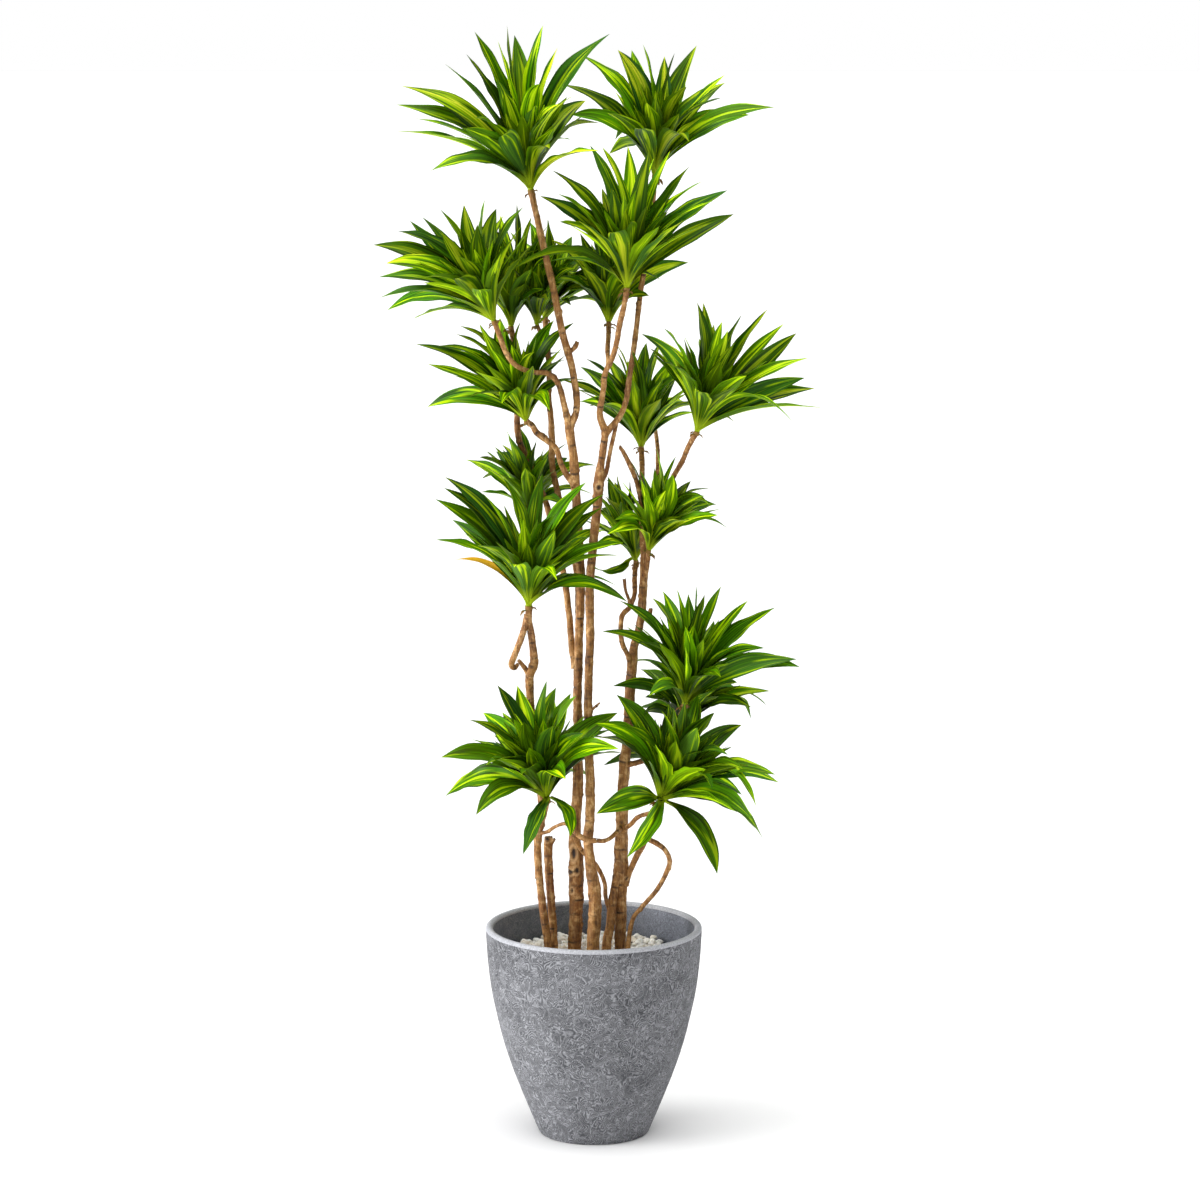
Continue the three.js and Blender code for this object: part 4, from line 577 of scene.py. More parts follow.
def leaf_skin(name, deep, middle, lime, streak, pale, painted_sheen, roughness, gloss):
    """A dracaena leaf's waxy skin, green with lime and yellow bands that run along it. The bands and
    veins follow each leaf's own across and along."""
    material, tree, shader = new_material(name)
    across, along, seed, banding, youth, age = (
        add(tree, "Attribute", attribute_name="leaf_" + label).outputs["Fac"]
        for label in ("across", "along", "seed", "banding", "youth", "age"))
    far = add(tree, "Math", {0: seed, 1: 90.0}, operation="MULTIPLY")

    def streaks(count, slide):
        """Streaks along the leaf, so many to its half width, that change so often on their way."""
        x = add(tree, "Math", {0: across, 1: count}, operation="MULTIPLY")
        y = add(tree, "Math", {0: along, 1: slide}, operation="MULTIPLY")
        at = add(tree, "CombineXYZ", {0: x, 1: y, 2: far})
        return add(tree, "TexNoise", {"Vector": at, "Scale": 1.0, "Detail": 1.0, "Roughness": 0.55})

    # Half a leaf is some 15 mm wide, so bands are about 5 mm wide. Veins lie about 1 mm apart on the
    # real leaf. Here they are 2 mm apart, or they wouldn't show.
    broad = streaks(3.1, 1.9)
    veins = streaks(8.0, 1.6)
    side = add(tree, "Math", {0: across}, operation="ABSOLUTE")
    middle_band = add(tree, "MapRange", {"Value": side, "From Min": 0.62, "From Max": 0.08, "To Min": 0.06,
                                         "To Max": 0.3}, interpolation_type="SMOOTHSTEP")
    lifted = add(tree, "Math", {0: middle_band, 1: banding, 2: broad}, operation="MULTIPLY_ADD")
    lime_share = add(tree, "MapRange", {"Value": lifted, "From Min": 0.57, "From Max": 0.72},
                     interpolation_type="SMOOTHSTEP")
    green_share = add(tree, "MapRange", {"Value": veins, "From Min": 0.36, "From Max": 0.64})
    green = add(tree, "Mix", {0: green_share, 6: linear(deep), 7: linear(middle)}, data_type="RGBA")
    narrow = add(tree, "Math", {0: veins, 1: lime_share, 2: -0.06}, operation="MULTIPLY_ADD")
    bright = add(tree, "MapRange", {"Value": narrow, "From Min": 0.4, "From Max": 0.58},
                 interpolation_type="SMOOTHSTEP")
    # One leaf in five is painted duller and bluer than the rest: a painted sheen, for the sky
    # that its gloss reflects.
    painted_sheen_share = add(tree, "MapRange", {"Value": seed, "From Min": 0.75, "From Max": 0.9, "To Max": 0.5})
    banded = add(tree, "Math", {0: lime_share, 1: 0.9}, operation="MULTIPLY")
    striped = add(tree, "Math", {0: bright, 1: banding}, operation="MULTIPLY", use_clamp=True)
    young = add(tree, "Math", {0: youth, 1: 0.35}, operation="MULTIPLY")
    colour = green
    for share, shade in ((painted_sheen_share, painted_sheen), (banded, lime), (striped, streak), (young, lime)):
        colour = add(tree, "Mix", {0: share, 6: colour, 7: linear(shade)}, data_type="RGBA")
    # Painted shade: darker towards the head's middle, where the leaves lie close and shade each
    # other, but pale at the very base.
    depth = add(tree, "MapRange", {"Value": along, "From Min": 0.08, "From Max": 0.5, "To Min": 0.42,
                                   "To Max": 1.0})
    # Some leaves are deeper in tone than their neighbours.
    swing = add(tree, "Math", {0: far}, operation="SINE")
    own = add(tree, "MapRange", {"Value": swing, "From Min": -1.0, "To Min": 0.58, "To Max": 1.46})
    # The tone is that painted shade times each leaf's own tone.
    tone = add(tree, "Math", {0: depth, 1: own}, operation="MULTIPLY")
    shaded = add(tree, "Mix", {0: 1.0, 6: colour, 7: tone}, data_type="RGBA", blend_type="MULTIPLY")
    sheath = add(tree, "MapRange", {"Value": along, "From Min": 0.16, "From Max": 0.0, "To Max": 0.85})
    based = add(tree, "Mix", {0: sheath, 6: shaded, 7: linear(pale)}, data_type="RGBA")
    # An old leaf goes yellow, and what is left of a dead one at the head's foot is dry and brown.
    withered = add(tree, "ValToRGB", {"Fac": age}, stops=[(0.5, "#c08f14"), (1.0, "#946a40")])
    old = add(tree, "MapRange", {"Value": age, "From Max": 0.5})
    rooted = add(tree, "MapRange", {"Value": along, "From Min": 0.15, "From Max": 0.45, "To Max": 0.9})
    share = add(tree, "Math", {0: old, 1: rooted}, operation="MULTIPLY")
    aged = add(tree, "Mix", {0: share, 6: based, 7: withered}, data_type="RGBA")
    tree.links.new(aged.outputs[2], shader.inputs["Base Color"])
    shine = add(tree, "MapRange", {"Value": veins, "To Min": roughness - 0.06, "To Max": roughness + 0.1})
    tree.links.new(shine.outputs["Result"], shader.inputs["Roughness"])
    bump = add(tree, "Bump", {"Height": veins, "Strength": 0.35, "Distance": 0.5 * MM})
    tree.links.new(bump.outputs["Normal"], shader.inputs["Normal"])
    shader.inputs["IOR"].default_value = 1.4
    shader.inputs["Specular IOR Level"].default_value = gloss
    return material


# ---- Planter ----
def wall_line():
    """The outer wall as many (radius, height) points on one smooth line, as the part's own."""
    points = np.array(POT_WALL_LINE, float) * MM
    spans = len(points) - 1
    line = []
    for step in range(spans * WALL_STEPS + 1):
        i = min(step // WALL_STEPS, spans - 1)
        before, start, end, after = points[max(i - 1, 0)], points[i], points[i + 1], points[min(i + 2, spans)]
        line.append(hermite(start, end, (end - before) / 2, (after - start) / 2, step / WALL_STEPS - i))
    return line


def planter(outside, smooth, inside):
    """The pot: one turned wall with a relief on it, a round lip, and a floor."""
    foot = [np.array(p) * MM for p in FOOT_LINE]
    wall = wall_line()
    lip_centre = wall[-1] - np.array([LIP_RADIUS, 0])
    lip = [lip_centre + LIP_RADIUS * np.array([math.cos(a), math.sin(a)])
           for a in np.linspace(0, math.pi, LIP_STEPS + 1)[1:]]
    heights = np.array(INNER_HEIGHTS) * MM
    radii = np.interp(heights, [p[1] for p in wall], [p[0] for p in wall]) - POT_WALL
    inner = [np.array(p) for p in zip(radii, heights)]
    inner.append(np.array([inner[-1][0] - FLOOR_ROUNDING, POT_FLOOR]))
    line = [*foot, *wall, *lip, *inner]
    turns = np.arange(POT_SEGMENTS) / POT_SEGMENTS * 2 * math.pi
    points = []
    for r, z in line:
        relief = np.zeros(POT_SEGMENTS)
        if RELIEF_HEIGHTS[0] < z < RELIEF_HEIGHTS[1] and r > wall[0][0]:
            for k, turn in enumerate(turns):
                at = Vector((r * math.cos(turn), r * math.sin(turn), z)) / RELIEF_CURL
                relief[k] = 1 - min(abs(noise.noise(at)) * RELIEF_SHARPNESS, 1)
        out = r + RELIEF_DEPTH * (relief - 0.5 * (relief > 0))
        points.append(np.stack([out * np.cos(turns), out * np.sin(turns), np.full(POT_SEGMENTS, z)], 1))
    faces = wall_faces(len(line), POT_SEGMENTS)
    bands = [0] * (len(foot) + len(wall) - 1) + [1] * len(lip) + [2] * len(inner)
    kinds = np.repeat(bands, POT_SEGMENTS).tolist()
    last = (len(line) - 1) * POT_SEGMENTS
    faces += [tuple(range(POT_SEGMENTS))[::-1], tuple(range(last, last + POT_SEGMENTS))]
    kinds += [0, 2]
    piece = mesh_piece("planter", [outside, smooth, inside], np.concatenate(points), faces, kinds)
    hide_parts("pot")


# ---- Pebbles ----
def broken_stone(i, ball):
    """One stone: a lumpy flattened ball, with flats where it was broken before it was tumbled."""
    form = ball * [1, between(PEBBLE_WIDTHS, draw(PEBBLE_DRAWS, i, 3)),
                   between(PEBBLE_HEIGHTS, draw(PEBBLE_DRAWS, i, 4))]
    lumps = np.array([noise.noise(Vector(p * 1.3) + Vector((i * 7.1, 0, 0))) for p in ball])
    form = form * (1 + PEBBLE_LUMPS * lumps)[:, None]
    for cut in range(PEBBLE_CUTS):
        turn = FULL_TURN * draw(PEBBLE_DRAWS, i, 10 + cut)
        drop = math.acos(2 * draw(PEBBLE_DRAWS, i, 20 + cut) - 1)
        way = np.array([math.sin(drop) * math.cos(turn), math.sin(drop) * math.sin(turn), math.cos(drop)])
        beyond = form @ way - between(PEBBLE_FLATS, draw(PEBBLE_DRAWS, i, 30 + cut))
        form -= np.where(beyond > 0, beyond * 0.8, 0)[:, None] * way
    tilted = turned(form, 1, 2, PEBBLE_TILT * (draw(PEBBLE_DRAWS, i, 5) - 0.5))
    return turned(tilted, 0, 1, FULL_TURN * draw(PEBBLE_DRAWS, i, 6))


def pebbles(material):
    """Loose stones on the soil, spread evenly from the middle out, with room for the canes."""
    feet = [branch[0] for group in CANES.values() for branch in group.values()
            if branch[0][2] * MM < SOIL_TOP]
    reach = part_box("pebble_layer")[1].x - PEBBLE_MARGIN
    sphere = bmesh.new()
    bmesh.ops.create_icosphere(sphere, subdivisions=3, radius=1.0)
    sphere.verts.ensure_lookup_table()
    ball = np.array([v.co for v in sphere.verts])
    ball_faces = [[v.index for v in f.verts] for f in sphere.faces]
    sphere.free()
    stones = []
    for i in range(PEBBLE_COUNT):
        radius = between(PEBBLE_RADII, draw(PEBBLE_DRAWS, i, 0))
        out = ((reach - radius) * math.sqrt((i + 0.5) / PEBBLE_COUNT)
               - PEBBLE_STRAY * draw(PEBBLE_DRAWS, i, 8))
        turn = (i * GOLDEN_TURN
                + PEBBLE_STRAY * (draw(PEBBLE_DRAWS, i, 1) - 0.5) / max(abs(out), PEBBLE_STRAY))
        x, y = out * math.cos(turn), out * math.sin(turn)
        if any(math.hypot(x - fx * MM, y - fy * MM) < fr * MM + 0.75 * radius for fx, fy, _, fr in feet):
            continue
        z = SOIL_TOP + PEBBLE_RISE * (0.25 + 0.75 * draw(PEBBLE_DRAWS, i, 2))
        stones.append((broken_stone(i, ball) * radius + [x, y, z], ball_faces, [0] * len(ball_faces),
                       {"stone_draw": np.full(len(ball), draw(PEBBLE_DRAWS, i, 7))}, []))
    piece = mesh_piece("pebbles", [material], *joined(stones))
    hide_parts("pebble_layer")


# ---- Canes ----
def route_points(route):
    """Points about CANE_STEP apart on the smooth line through a route, and the radius at each."""
    points = np.array([p[:3] for p in route], float) * MM
    radii = np.array([p[3] for p in route], float) * MM
    padded = np.concatenate([[2 * points[0] - points[1]], points, [2 * points[-1] - points[-2]]])
    line, widths = [], []
    for i in range(len(points) - 1):
        p0, p1, p2, p3 = padded[i:i + 4]
        d0, d1, d2 = (max(np.linalg.norm(b - a), 1e-6) ** 0.5 for a, b in ((p0, p1), (p1, p2), (p2, p3)))
        leaving = d1 * ((p1 - p0) / d0 - (p2 - p0) / (d0 + d1) + (p2 - p1) / d1)
        arriving = d1 * ((p2 - p1) / d1 - (p3 - p1) / (d1 + d2) + (p3 - p2) / d2)
        steps = max(int(np.linalg.norm(p2 - p1) / CANE_STEP), 1)
        last = i == len(points) - 2
        for t in np.arange(steps + last) / steps:
            line.append(hermite(p1, p2, leaving, arriving, t))
            widths.append(radii[i] * (1 - t) + radii[i + 1] * t)
    return np.array(line), np.array(widths)


def cane_noise(shift, frequency, length, run, turns):
    """Noise at each point of a cane's skin: so often round it, and once in a length along it."""
    return np.array([[noise.noise(Vector((math.cos(a) * frequency, math.sin(a) * frequency, s / length)) +
                                  Vector(shift)) for a in turns] for s in run])


def add_scars(number, run, turns, radius, ring, scar_and_hollow_shade):
    """Thin rings, each with a dark crescent where a leaf has dropped, now on one side, now on the
    other."""
    place, item = FIRST_RING, 0
    while place < run[-1]:
        wobble = RING_WIDTH * np.sin(turns + FULL_TURN * draw(number, item, 1))
        off = run[:, None] - place - wobble[None, :]
        strength = 0.35 + 0.65 * draw(number, item, 2)
        np.maximum(ring, strength * np.exp(-(off / RING_WIDTH) ** 2), out=ring)
        radius += strength * SWELL_HEIGHT * np.exp(-((off - SWELL_AT) / SWELL_WIDTH) ** 2)
        facing = 2 * math.pi * (0.5 * (item % 2) + 0.3 * draw(number, item, 3))
        side = np.angle(np.exp(1j * (turns - facing)))[None, :]
        lens = off + SCAR_BEND * (1 - np.cos(side))
        mark = np.exp(-(lens / SCAR_WIDTH) ** 2) * smooth_step(1.25, 0.7, np.abs(side))
        dark = smooth_step(0.1, 0.6, draw(number, item, 4))
        np.maximum(scar_and_hollow_shade, dark * mark, out=scar_and_hollow_shade)
        radius -= SCAR_DEPTH * mark * dark
        place += between(RING_SPACINGS, draw(number, item, 5) ** 2)
        item += 1


def add_knots(number, run, turns, widths, radius, scar_and_hollow_shade):
    """Here and there a knot where a thin branch was cut off."""
    place, item = 30 * MM * draw(number, 0, 7), 0
    while place < run[-1]:
        size = between(KNOT_SIZES, draw(number, item, 8))
        side = np.angle(np.exp(1j * (turns - FULL_TURN * draw(number, item, 9))))[None, :]
        away = np.hypot(run[:, None] - place, side * widths[:, None]) / size
        radius += 0.45 * size * np.exp(-((away - 0.75) / 0.4) ** 2)
        np.maximum(scar_and_hollow_shade, 0.8 * np.exp(-(away / 0.5) ** 2), out=scar_and_hollow_shade)
        place += between(KNOT_SPACINGS, draw(number, item, 10))
        item += 1


def add_marks(points, outward, scar_and_hollow_shade, stain, worn):
    """The hollows, knots and stains of CANE_MARKS, on what faces the front. A hollow has a raised rim
    of pale worn wood, and its inside is painted near black as the shade deep in the hole; a knot has
    a raised ring."""
    front = outward[..., 1] < 0.1
    for kind, marks in CANE_MARKS.items():
        for x, z, wide, high in marks:
            away = np.hypot((points[..., 0] - x * MM) / (wide * MM), (points[..., 2] - z * MM) / (high * MM))
            near = np.exp(-away**2) * front
            if kind == "hollow":
                rim = np.exp(-((away - 1.25) / 0.3) ** 2) * front
                points -= outward * (MM * wide * (0.45 * near - 0.16 * rim))[..., None]
                # Painted shade: the hollow's inside goes near black in the scar mark, for the shade deep in
                # the hole.
                np.maximum(scar_and_hollow_shade, smooth_step(0.35, 0.75, near), out=scar_and_hollow_shade)
                np.maximum(worn, 0.8 * rim, out=worn)
            elif kind == "knot":
                rim = np.exp(-((away - 0.7) / 0.45) ** 2) * front
                points += outward * (0.35 * MM * wide * rim)[..., None]
                np.maximum(scar_and_hollow_shade, 0.75 * smooth_step(0.55, 0.95, near), out=scar_and_hollow_shade)
            else:
                np.maximum(stain, near, out=stain)


def cane_branch(number, route, carries_head, starts_inside):
    """The mesh of one branch: a lumpy tube with rings, scars, knots and marks, closed at both ends."""
    line, widths = route_points(route)
    ways, sides, others = frames_along(line)
    run = np.concatenate([[0], np.cumsum(np.linalg.norm(np.diff(line, axis=0), axis=1))])
    count = max(int(2 * math.pi * widths.max() / CANE_FACET), 12)
    turns = np.arange(count) / count * 2 * math.pi
    radius = np.repeat(widths[:, None], count, 1)
    if starts_inside:
        # The collar with which a branch grows out of its cane.
        radius *= 1 + COLLAR_HEIGHT * np.exp(-run / (COLLAR_LENGTH * widths[0]))[:, None]
    lumps = cane_noise((number * 3.7, 0, 0), 0.8, LUMP_LENGTH, run, turns)
    bumps = cane_noise((0, number * 5.1, 0), 2.2, BUMP_LENGTH, run, turns)
    radius *= 1 + LUMP_HEIGHT * lumps + BUMP_HEIGHT * bumps
    scar_and_hollow_shade, ring, stain, worn = (np.zeros_like(radius) for _ in range(4))
    add_scars(number, run, turns, radius, ring, scar_and_hollow_shade)
    add_knots(number, run, turns, widths, radius, scar_and_hollow_shade)
    cosines, sines = np.cos(turns)[None, :, None], np.sin(turns)[None, :, None]
    outward = cosines * sides[:, None, :] + sines * others[:, None, :]
    points = line[:, None, :] + radius[..., None] * outward
    add_marks(points, outward, scar_and_hollow_shade, stain, worn)
    if not carries_head:
        # A free end was sawn or broken off, so it is uneven.
        ragged = np.array([noise.noise(Vector((math.cos(a) * 2.5, math.sin(a) * 2.5, number)))
                           for a in turns])
        points[-1] += (RAGGED_END * (ragged + 0.4))[:, None] * ways[-1]
        points[-1] = line[-1] + (points[-1] - line[-1]) * CUT_RADIUS
    last = (len(line) - 1) * count
    points = np.concatenate([points.reshape(-1, 3), [line[-1] - CUT_HOLLOW * ways[-1]]])
    numbers = {label: np.append(values.ravel(), 0) for label, values in
               (("cane_scar_and_hollow_shade", scar_and_hollow_shade), ("cane_ring", ring), ("cane_stain", stain), ("cane_worn", worn))}
    faces = wall_faces(len(line), count)
    kinds = [0] * (len(faces) + 1) + [0 if carries_head else 1] * count
    faces.append(tuple(range(count))[::-1])
    faces += [(last + k, last + (k + 1) % count, last + count) for k in range(count)]
    return points, faces, kinds, numbers, []


def canes(bark, wood):
    """The canes, one piece for each group that has grown together."""
    number = 0
    for name, branches in CANES.items():
        parts = []
        for branch, route in branches.items():
            number += 1
            carries_head = (name, branch) in ROSETTE_CANES
            parts.append(cane_branch(number, route, carries_head, route[0][2] * MM > SOIL_TOP))
        piece = mesh_piece(name + "_bark", [bark, wood], *joined(parts))
        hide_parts(name)


# ---- Leaves ----
def solid_leaves(node):
    """The leaves of a rosette's solid. Each is a tube of four corners to a section, which ends in a
    point: from there its sections are the corners one face further on, down to its base."""
    body = bmesh.new()
    body.from_mesh(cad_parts[node].data)
    bmesh.ops.remove_doubles(body, verts=body.verts, dist=0.02 * MM)
    body.verts.index_update()
    near = {v: {e.other_vert(v) for e in v.link_edges} for v in body.verts}
    leaves = []
    used = set()
    for tip in body.verts:
        if len(near[tip]) != 4 or sum(len(near[v]) == 4 for v in near[tip]) != 2:
            continue
        layers = [{tip}, near[tip]]
        while len(layers) < 4:
            layers.append(set().union(*(near[v] for v in layers[-1])) - layers[-1] - layers[-2])
        if any(len(layer) != 4 for layer in layers[1:]):
            continue
        edges = sorted((v for v in layers[1] if len(near[v]) == 4), key=lambda v: v.index)
        feet = list(edges)
        for layer in layers[2:]:
            feet = [min(near[v] & layer, key=lambda w: w.index) for v in feet]
        left, right = (np.array(v.co) for v in edges)
        base_left, base_right = (np.array(v.co) for v in feet)
        # The upper face is the one nearer to the line between the raised edges.
        faces = sorted((np.array(v.co) for v in layers[1] if v not in edges),
                       key=lambda p: np.linalg.norm(p - (left + right) / 2))
        used |= set().union(*layers[:3])
        leaves.append({
            "tip": np.array(tip.co),
            "root": (base_left + base_right) / 2,
            "base": base_right - base_left,
            "middle": (faces[0] + faces[1]) / 2,
            "up": unit(faces[0] - faces[1]),
            "side": right - left,
        })
    core = [np.array(v.co) for v in body.verts if v not in used]
    body.free()
    return leaves, core


def leaf_line(leaf, axis, t):
    """Points on a leaf's midline, at shares of the way from its root to its tip. It is the arc that
    the solid leaf's root, middle and tip give, but straighter, most of all where the leaf hangs or
    sags, and a leaf that leans climbs before it bends over."""
    root, tip = leaf["root"], leaf["tip"]
    at = SOLID_SECTION
    bend = (leaf["middle"] - (1 - at) ** 2 * root - at * at * tip) / (2 * at * (1 - at))
    reach = tip - root
    lean = 1 - unit(reach).dot(axis)
    sag = ((root + tip) / 2 - bend)[2] / np.linalg.norm(reach)
    straighter = (STRAIGHTER + STRAIGHTER_HANGING * smooth_step(0.9, 1.3, lean)
                  + STRAIGHTER_SAGGING * smooth_step(0.02, 0.1, sag))
    bend = bend + straighter * ((root + tip) / 2 - bend)
    climb = CLIMB * max(lean * (1.5 - lean), 0) * 1.8 * np.linalg.norm(reach)
    line = (1 - t)[:, None] ** 2 * root + (2 * t * (1 - t))[:, None] * bend + t[:, None] ** 2 * tip
    return line + (climb * HUMP * t * (1 - t) ** 2)[:, None] * axis


def leaf_sides(leaf, line, t, twist):
    """Across and up at each point of a leaf's midline. Across turns from the base's to the blade's."""
    ways = unit(np.gradient(np.concatenate([line, [leaf["tip"]]]), axis=0)[:-1])
    turn_in = smooth_step(0.0, 0.28, t)[:, None]
    sides = unit(leaf["base"]) * (1 - turn_in) + unit(leaf["side"]) * turn_in
    sides = unit(sides - (sides * ways).sum(1, keepdims=True) * ways)
    ups = np.cross(ways, sides)
    if ups[len(t) // 2].dot(leaf["up"]) < 0:
        ups = -ups
        sides = -sides
    twists = twist * t * t
    return (sides * np.cos(twists)[:, None] + ups * np.sin(twists)[:, None],
            ups * np.cos(twists)[:, None] - sides * np.sin(twists)[:, None])


def half_widths(leaf, t, fullness):
    """Half of a leaf's width along it: narrow at the base, widest at WIDEST, and pointed."""
    width = np.linalg.norm(leaf["side"])
    base_share = min(np.linalg.norm(leaf["base"]) / width, 0.3)
    growing = np.sin(np.clip(t / WIDEST, 0, 1) * math.pi / 2) ** 1.5
    closing = np.clip((t - WIDEST) / (1 - WIDEST), 0, 1)
    return fullness * width / 2 * (base_share + (1 - base_share) * growing) * (1 - closing**2) ** 1.1


def blade(leaf, axis, group, item, fullness, banding, youth, age=0.0):
    """The fine mesh of one leaf: a thin channelled blade with a waved edge, closed all round."""
    t = np.linspace(0, 1, LEAF_STEPS + 1)[:-1]
    line = leaf_line(leaf, axis, t)
    sides, ups = leaf_sides(leaf, line, t, LEAF_TWIST * (draw(group, item, 11) - 0.5))
    half = half_widths(leaf, t, fullness)
    channel = np.interp(t, *CHANNEL)
    s = np.linspace(-1, 1, LEAF_COLUMNS + 1)
    waves = between(EDGE_WAVES, draw(group, item, 12))
    phase = 2 * math.pi * draw(group, item, 13)
    ripple = WAVE_HEIGHT * np.sin(2 * math.pi * waves * t[:, None] + phase + 1.3 * np.sign(s)[None, :])
    rise = half[:, None] * (channel[:, None] * np.abs(s) ** 1.2 + ripple * np.abs(s) ** 2 *
                            smooth_step(0.15, 0.4, t)[:, None])
    centre = line[:, None, :] + half[:, None, None] * s[None, :, None] * sides[:, None, :]
    thick = LEAF_THICKNESS / 2 * (1 - np.abs(s) ** 3)[None, :] * (1.6 - 0.9 * t)[:, None]
    over = centre + (rise + thick)[..., None] * ups[:, None, :]
    under = centre + (rise - thick)[..., None] * ups[:, None, :]
    points = np.concatenate([over, under[:, 1:-1]], axis=1).reshape(-1, 3)
    points = np.concatenate([points, [leaf["tip"]]])
    end = len(points) - 1
    top = LEAF_COLUMNS + 1
    ring = top + LEAF_COLUMNS - 1
    order = [*range(top), *range(ring - 1, top - 1, -1)]  # once round the blade
    faces, kinds = [], []
    for j in range(LEAF_STEPS):
        here = j * ring
        for k in range(ring):
            a, b = order[k], order[(k + 1) % ring]
            if j == LEAF_STEPS - 1:
                faces.append((here + a, here + b, end))
            else:
                faces.append((here + a, here + b, here + ring + b, here + ring + a))
            kinds.append(0 if k < LEAF_COLUMNS else 1)
    faces.append(tuple(order)[::-1])
    kinds.append(1)
    numbers = {
        "leaf_across": np.append(np.tile(np.concatenate([s, s[1:-1]]), LEAF_STEPS), 0),
        "leaf_along": np.append(np.repeat(t, ring), 1),
        "leaf_seed": np.full(end + 1, draw(group, item, 14)),
        "leaf_banding": np.full(end + 1, banding * (0.15 + 0.85 * draw(group, item, 15) ** 1.4)),
        "leaf_youth": np.full(end + 1, youth),
        "leaf_age": np.full(end + 1, age),
    }
    borders = [j * ring + k for j in range(LEAF_STEPS) for k in (0, top - 1)] + [end]
    return points, faces, kinds, numbers, borders


def heart_of_head(at, axis, foot_radius):
    """The end of the cane between the lowest leaves, with a collar of dry sheaths round its foot."""
    u = np.linspace(0, 1, HEART_RINGS)
    line = at + axis * ((SHEATH * 1.5 + HEART_SINK) * u - HEART_SINK)[:, None]
    radii = np.interp(u, *HEART_OUTLINE) * foot_radius
    _, sides, others = frames_along(line)
    turns = np.arange(HEART_SIDES) / HEART_SIDES * 2 * math.pi
    points = line[:, None, :] + radii[:, None, None] * (
        np.cos(turns)[None, :, None] * sides[:, None, :] + np.sin(turns)[None, :, None] * others[:, None, :])
    points = points.reshape(-1, 3)
    size = len(points)
    faces = wall_faces(HEART_RINGS, HEART_SIDES)
    faces += [tuple(range(HEART_SIDES))[::-1], tuple(range(size - HEART_SIDES, size))]
    dry = np.repeat(u < 0.33, HEART_SIDES).astype(float)
    numbers = {"leaf_across": np.zeros(size), "leaf_along": 0.45 * dry, "leaf_seed": np.zeros(size),
               "leaf_banding": np.zeros(size), "leaf_youth": np.full(size, 0.6), "leaf_age": dry}
    return points, faces, [0] * len(faces), numbers, []


def inner_leaves(group, at, axis, leaves):
    """Young leaves that stand between the large ones round the head's point, shorter than they are."""
    across, other = square_to(axis)
    length = np.median([np.linalg.norm(leaf["tip"] - leaf["root"]) for leaf in leaves])
    count = FULL_HEADS.get(group + 1, INNER_LEAVES)
    made = []
    for i in range(count):
        share = (i + 0.5) / count
        turn = i * GOLDEN_TURN + 0.4 * draw(group, i, 31)
        out = math.cos(turn) * across + math.sin(turn) * other
        spread = math.radians(between(INNER_SPREAD, share))
        size = length * (0.72 + 0.2 * share) * (0.88 + 0.24 * draw(group, i, 32))
        root = at + axis * SHEATH * (2.2 - 1.4 * share) + out * 4 * MM
        way = axis * math.cos(spread) + out * math.sin(spread)
        flat = unit(np.cross(way, out if share > 0.05 else across))
        up = np.cross(flat, way)
        if up.dot(axis) < 0:
            up = -up
        width = INNER_WIDTH * math.sqrt(size / INNER_LENGTH) * (0.85 + 0.25 * draw(group, i, 33))
        middle = root + way * size * 0.5 + up * size * (0.03 + 0.08 * share)
        made.append({"tip": root + way * size, "root": root, "base": flat * 6 * MM, "middle": middle,
                     "up": up, "side": flat * width})
    return made


def dry_scraps(group, at, axis, radius):
    """What is left of the last leaves that dropped: dry scraps that curl out under a head."""
    across, other = square_to(axis)
    made = []
    for i in range(3 + int(4 * draw(group, 0, 41))):
        turn = FULL_TURN * draw(group, i, 42)
        out = math.cos(turn) * across + math.sin(turn) * other
        flat = np.cross(axis, out)
        root = at - axis * (2 + 7 * draw(group, i, 43)) * MM + out * 0.8 * radius
        size = (9 + 9 * draw(group, i, 44)) * MM
        tip = root + size * (0.8 * out + (0.5 * draw(group, i, 45) - 0.6) * axis)
        middle = (root + tip) / 2 + 0.3 * size * axis
        made.append({"tip": tip, "root": root, "base": flat * 5 * MM, "middle": middle, "up": axis,
                     "side": flat * 7 * MM})
    return made


def draw_together(leaf, at, axis, stretch):
    """Moves a leaf of the solid, which stands along a core, to where the real one starts, close over
    the cane's end."""
    height = (leaf["root"] - at).dot(axis)
    out = leaf["root"] - at - height * axis
    leaf["root"] = at + axis * SHEATH * min(height / SOLID_CORE, 1) + 0.6 * out
    for part in ("middle", "tip"):
        leaf[part] = at + stretch * (leaf[part] - at)


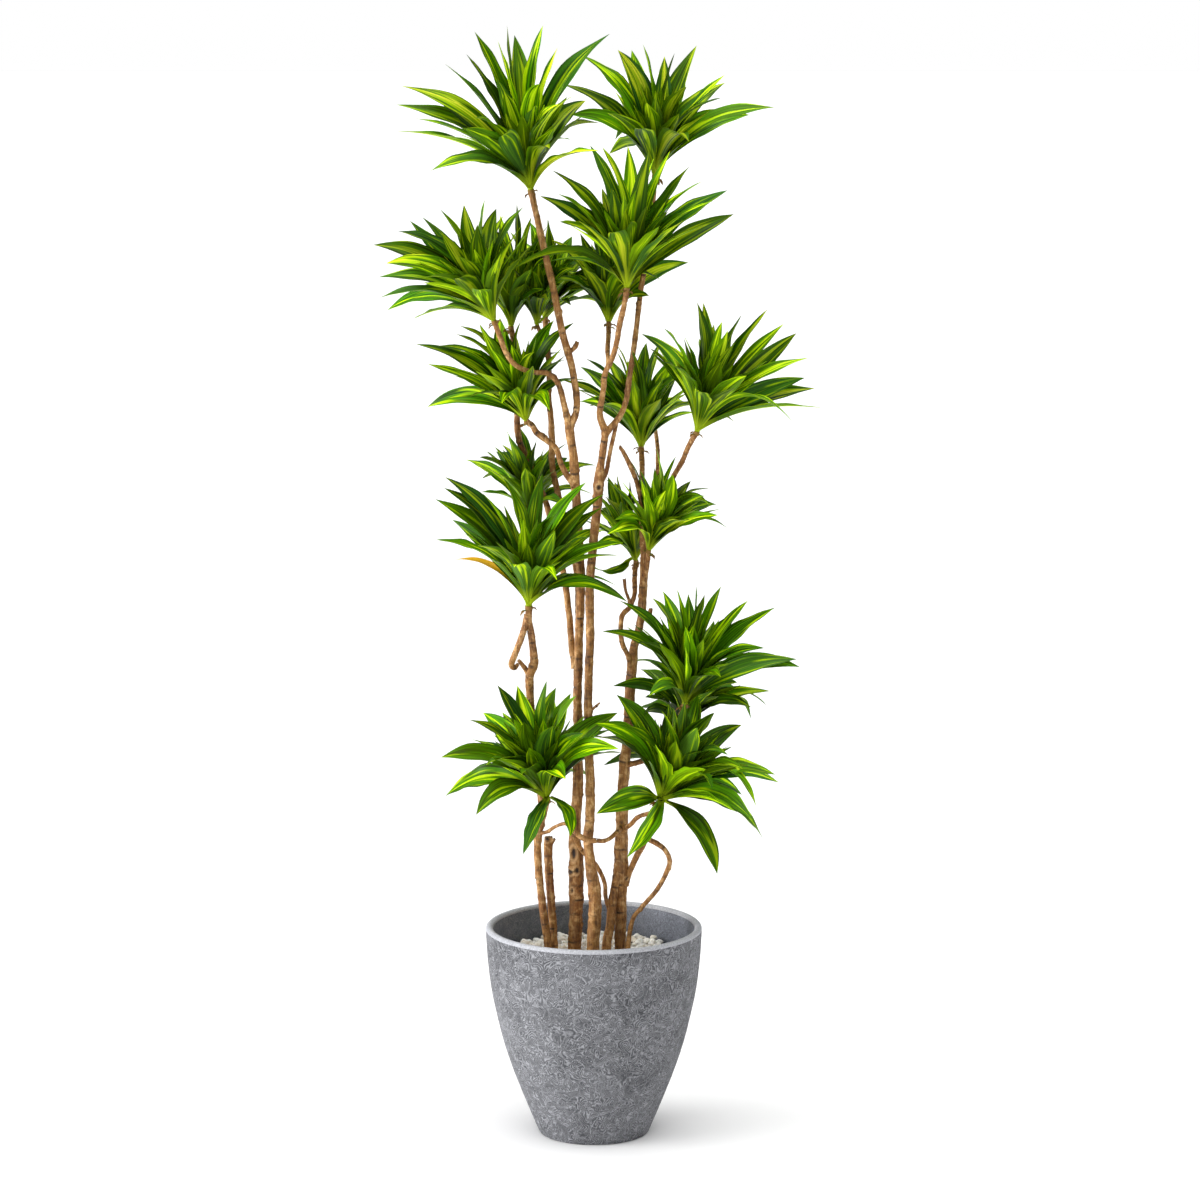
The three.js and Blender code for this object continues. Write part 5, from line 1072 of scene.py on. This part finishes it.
def rosettes(upper, lower):
    """The heads of leaves, one piece for each."""
    for group, (cane, branch) in enumerate(ROSETTE_CANES):
        number = group + 1
        node = "rosette_%02d" % number
        leaves, core = solid_leaves(node)
        end = CANES[cane][branch][-1]
        at, radius = np.array(end[:3]) * MM, end[3] * MM
        axis = unit(max(core, key=lambda p: np.linalg.norm(p - at)) - at)
        inner = inner_leaves(group, at, axis, leaves)
        for leaf in leaves:
            draw_together(leaf, at, axis, LONGER.get(number, 1.0))
        aged = None
        if node == YELLOWED[0]:
            spot = at[[0, 2]] + np.array(YELLOWED[1]) * MM
            aged = min(range(len(leaves)), key=lambda i: np.linalg.norm(leaves[i]["tip"][[0, 2]] - spot))
        fullness = WIDER.get(number, FULLER)
        banding = STRIPED.get(number, 1.0)
        parts = [heart_of_head(at, axis, radius)]
        for i, leaf in enumerate(leaves):
            old = i == aged
            parts.append(blade(leaf, axis, group, i, fullness * (OLD_WIDTH if old else 1), banding,
                               0.25 * draw(group, i, 16), 0.5 * old))
        for i, leaf in enumerate(inner):
            parts.append(blade(leaf, axis, group, INNER_DRAWS + i, fullness, banding,
                               0.3 + 0.4 * draw(group, i, 17)))
        for i, scrap in enumerate(dry_scraps(group, at, axis, radius)):
            parts.append(blade(scrap, axis, group, SCRAP_DRAWS + i, 1.0, 0.0, 0.0, 1.0))
        piece = mesh_piece("leaves_%02d" % number, [upper, lower], *joined(parts))
        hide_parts(node)


# ---- Studio ----
def studio():
    """A plain white floor, soft lights from the left and from above, and a pale surround."""
    floor_mesh = bpy.data.meshes.new("studio_floor")
    corners = [(x * FLOOR_REACH, y * FLOOR_REACH, 0) for x, y in ((-1, -1), (1, -1), (1, 1), (-1, 1))]
    floor_mesh.from_pydata(corners, [], [(0, 1, 2, 3)])
    material, _, shader = new_material("matt white studio floor")
    shader.inputs["Base Color"].default_value = linear("#f5f5f5")
    shader.inputs["Roughness"].default_value = 0.9
    floor_mesh.materials.append(material)
    floor = bpy.data.objects.new("studio_floor", floor_mesh)
    bpy.context.scene.collection.objects.link(floor)

    for name, towards, strength, softness in LIGHTS:
        lamp = bpy.data.lights.new(name, "SUN")
        lamp.energy = strength
        lamp.angle = math.radians(softness)
        holder = bpy.data.objects.new(name, lamp)
        holder.rotation_euler = Vector(towards).to_track_quat("-Z", "Y").to_euler()
        bpy.context.scene.collection.objects.link(holder)

    world = bpy.data.worlds.new("studio_surround")
    bpy.context.scene.world = world
    world.use_nodes = True
    tree = world.node_tree
    # White at the horizon, so that the floor has no visible end, and dimmer above.
    place = add(tree, "TexCoord").outputs["Generated"]
    rise = add(tree, "SeparateXYZ", {0: place}).outputs["Z"]
    level = add(tree, "Math", {0: rise}, operation="ABSOLUTE").outputs["Value"]
    band = add(tree, "MapRange", {"Value": level, "From Min": 0.035, "From Max": 0.1, "To Min": 1.0,
                                  "To Max": SURROUND}, interpolation_type="SMOOTHSTEP").outputs["Result"]
    back = tree.nodes["Background"]
    back.inputs["Color"].default_value = (1.0, 1.0, 1.0, 1.0)
    tree.links.new(band, back.inputs["Strength"])


def camera():
    """As the photograph was taken: from a little over six metres off, looking down nine degrees."""
    data = bpy.data.cameras.new("photo_camera")
    data.sensor_width = 36.0
    data.lens = FOCAL_PIXELS / PHOTO_PIXELS * data.sensor_width
    data.clip_end = 500.0
    holder = bpy.data.objects.new("photo_camera", data)
    holder.location = CAMERA_PLACE
    holder.rotation_euler = (math.radians(90 - CAMERA_DOWN), 0, 0)
    bpy.context.scene.collection.objects.link(holder)
    bpy.context.scene.camera = holder


camera()
studio()
planter(cast_stone("cast stone wall", "#9a9ba0", "#48494d", 1.0),
        cast_stone("cast stone rim", "#c8c9cf", "#b0b1b7", 0.1),
        cast_stone("cast stone inside", "#a6aab5", "#6a6e78", 0.4))
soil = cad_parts["potting_soil"]
soil.data.materials.clear()
soil.data.materials.append(potting_soil())
pebbles(river_pebble())
canes(cane_bark(), cut_wood())
# Each skin's dull colour is the bluish painted sheen that some leaves get.
rosettes(leaf_skin("dracaena leaf face", deep="#112e02", middle="#4b8903", lime="#b2d704", streak="#f4f63c",
                   pale="#a8bc20", painted_sheen="#285a24", roughness=0.36, gloss=0.12),
         leaf_skin("dracaena leaf underside", deep="#1f4002", middle="#578504", lime="#a4c60a",
                   streak="#dce434", pale="#a8be1e", painted_sheen="#38602a", roughness=0.5, gloss=0.05))

bpy.context.scene.view_settings.view_transform = "Standard"
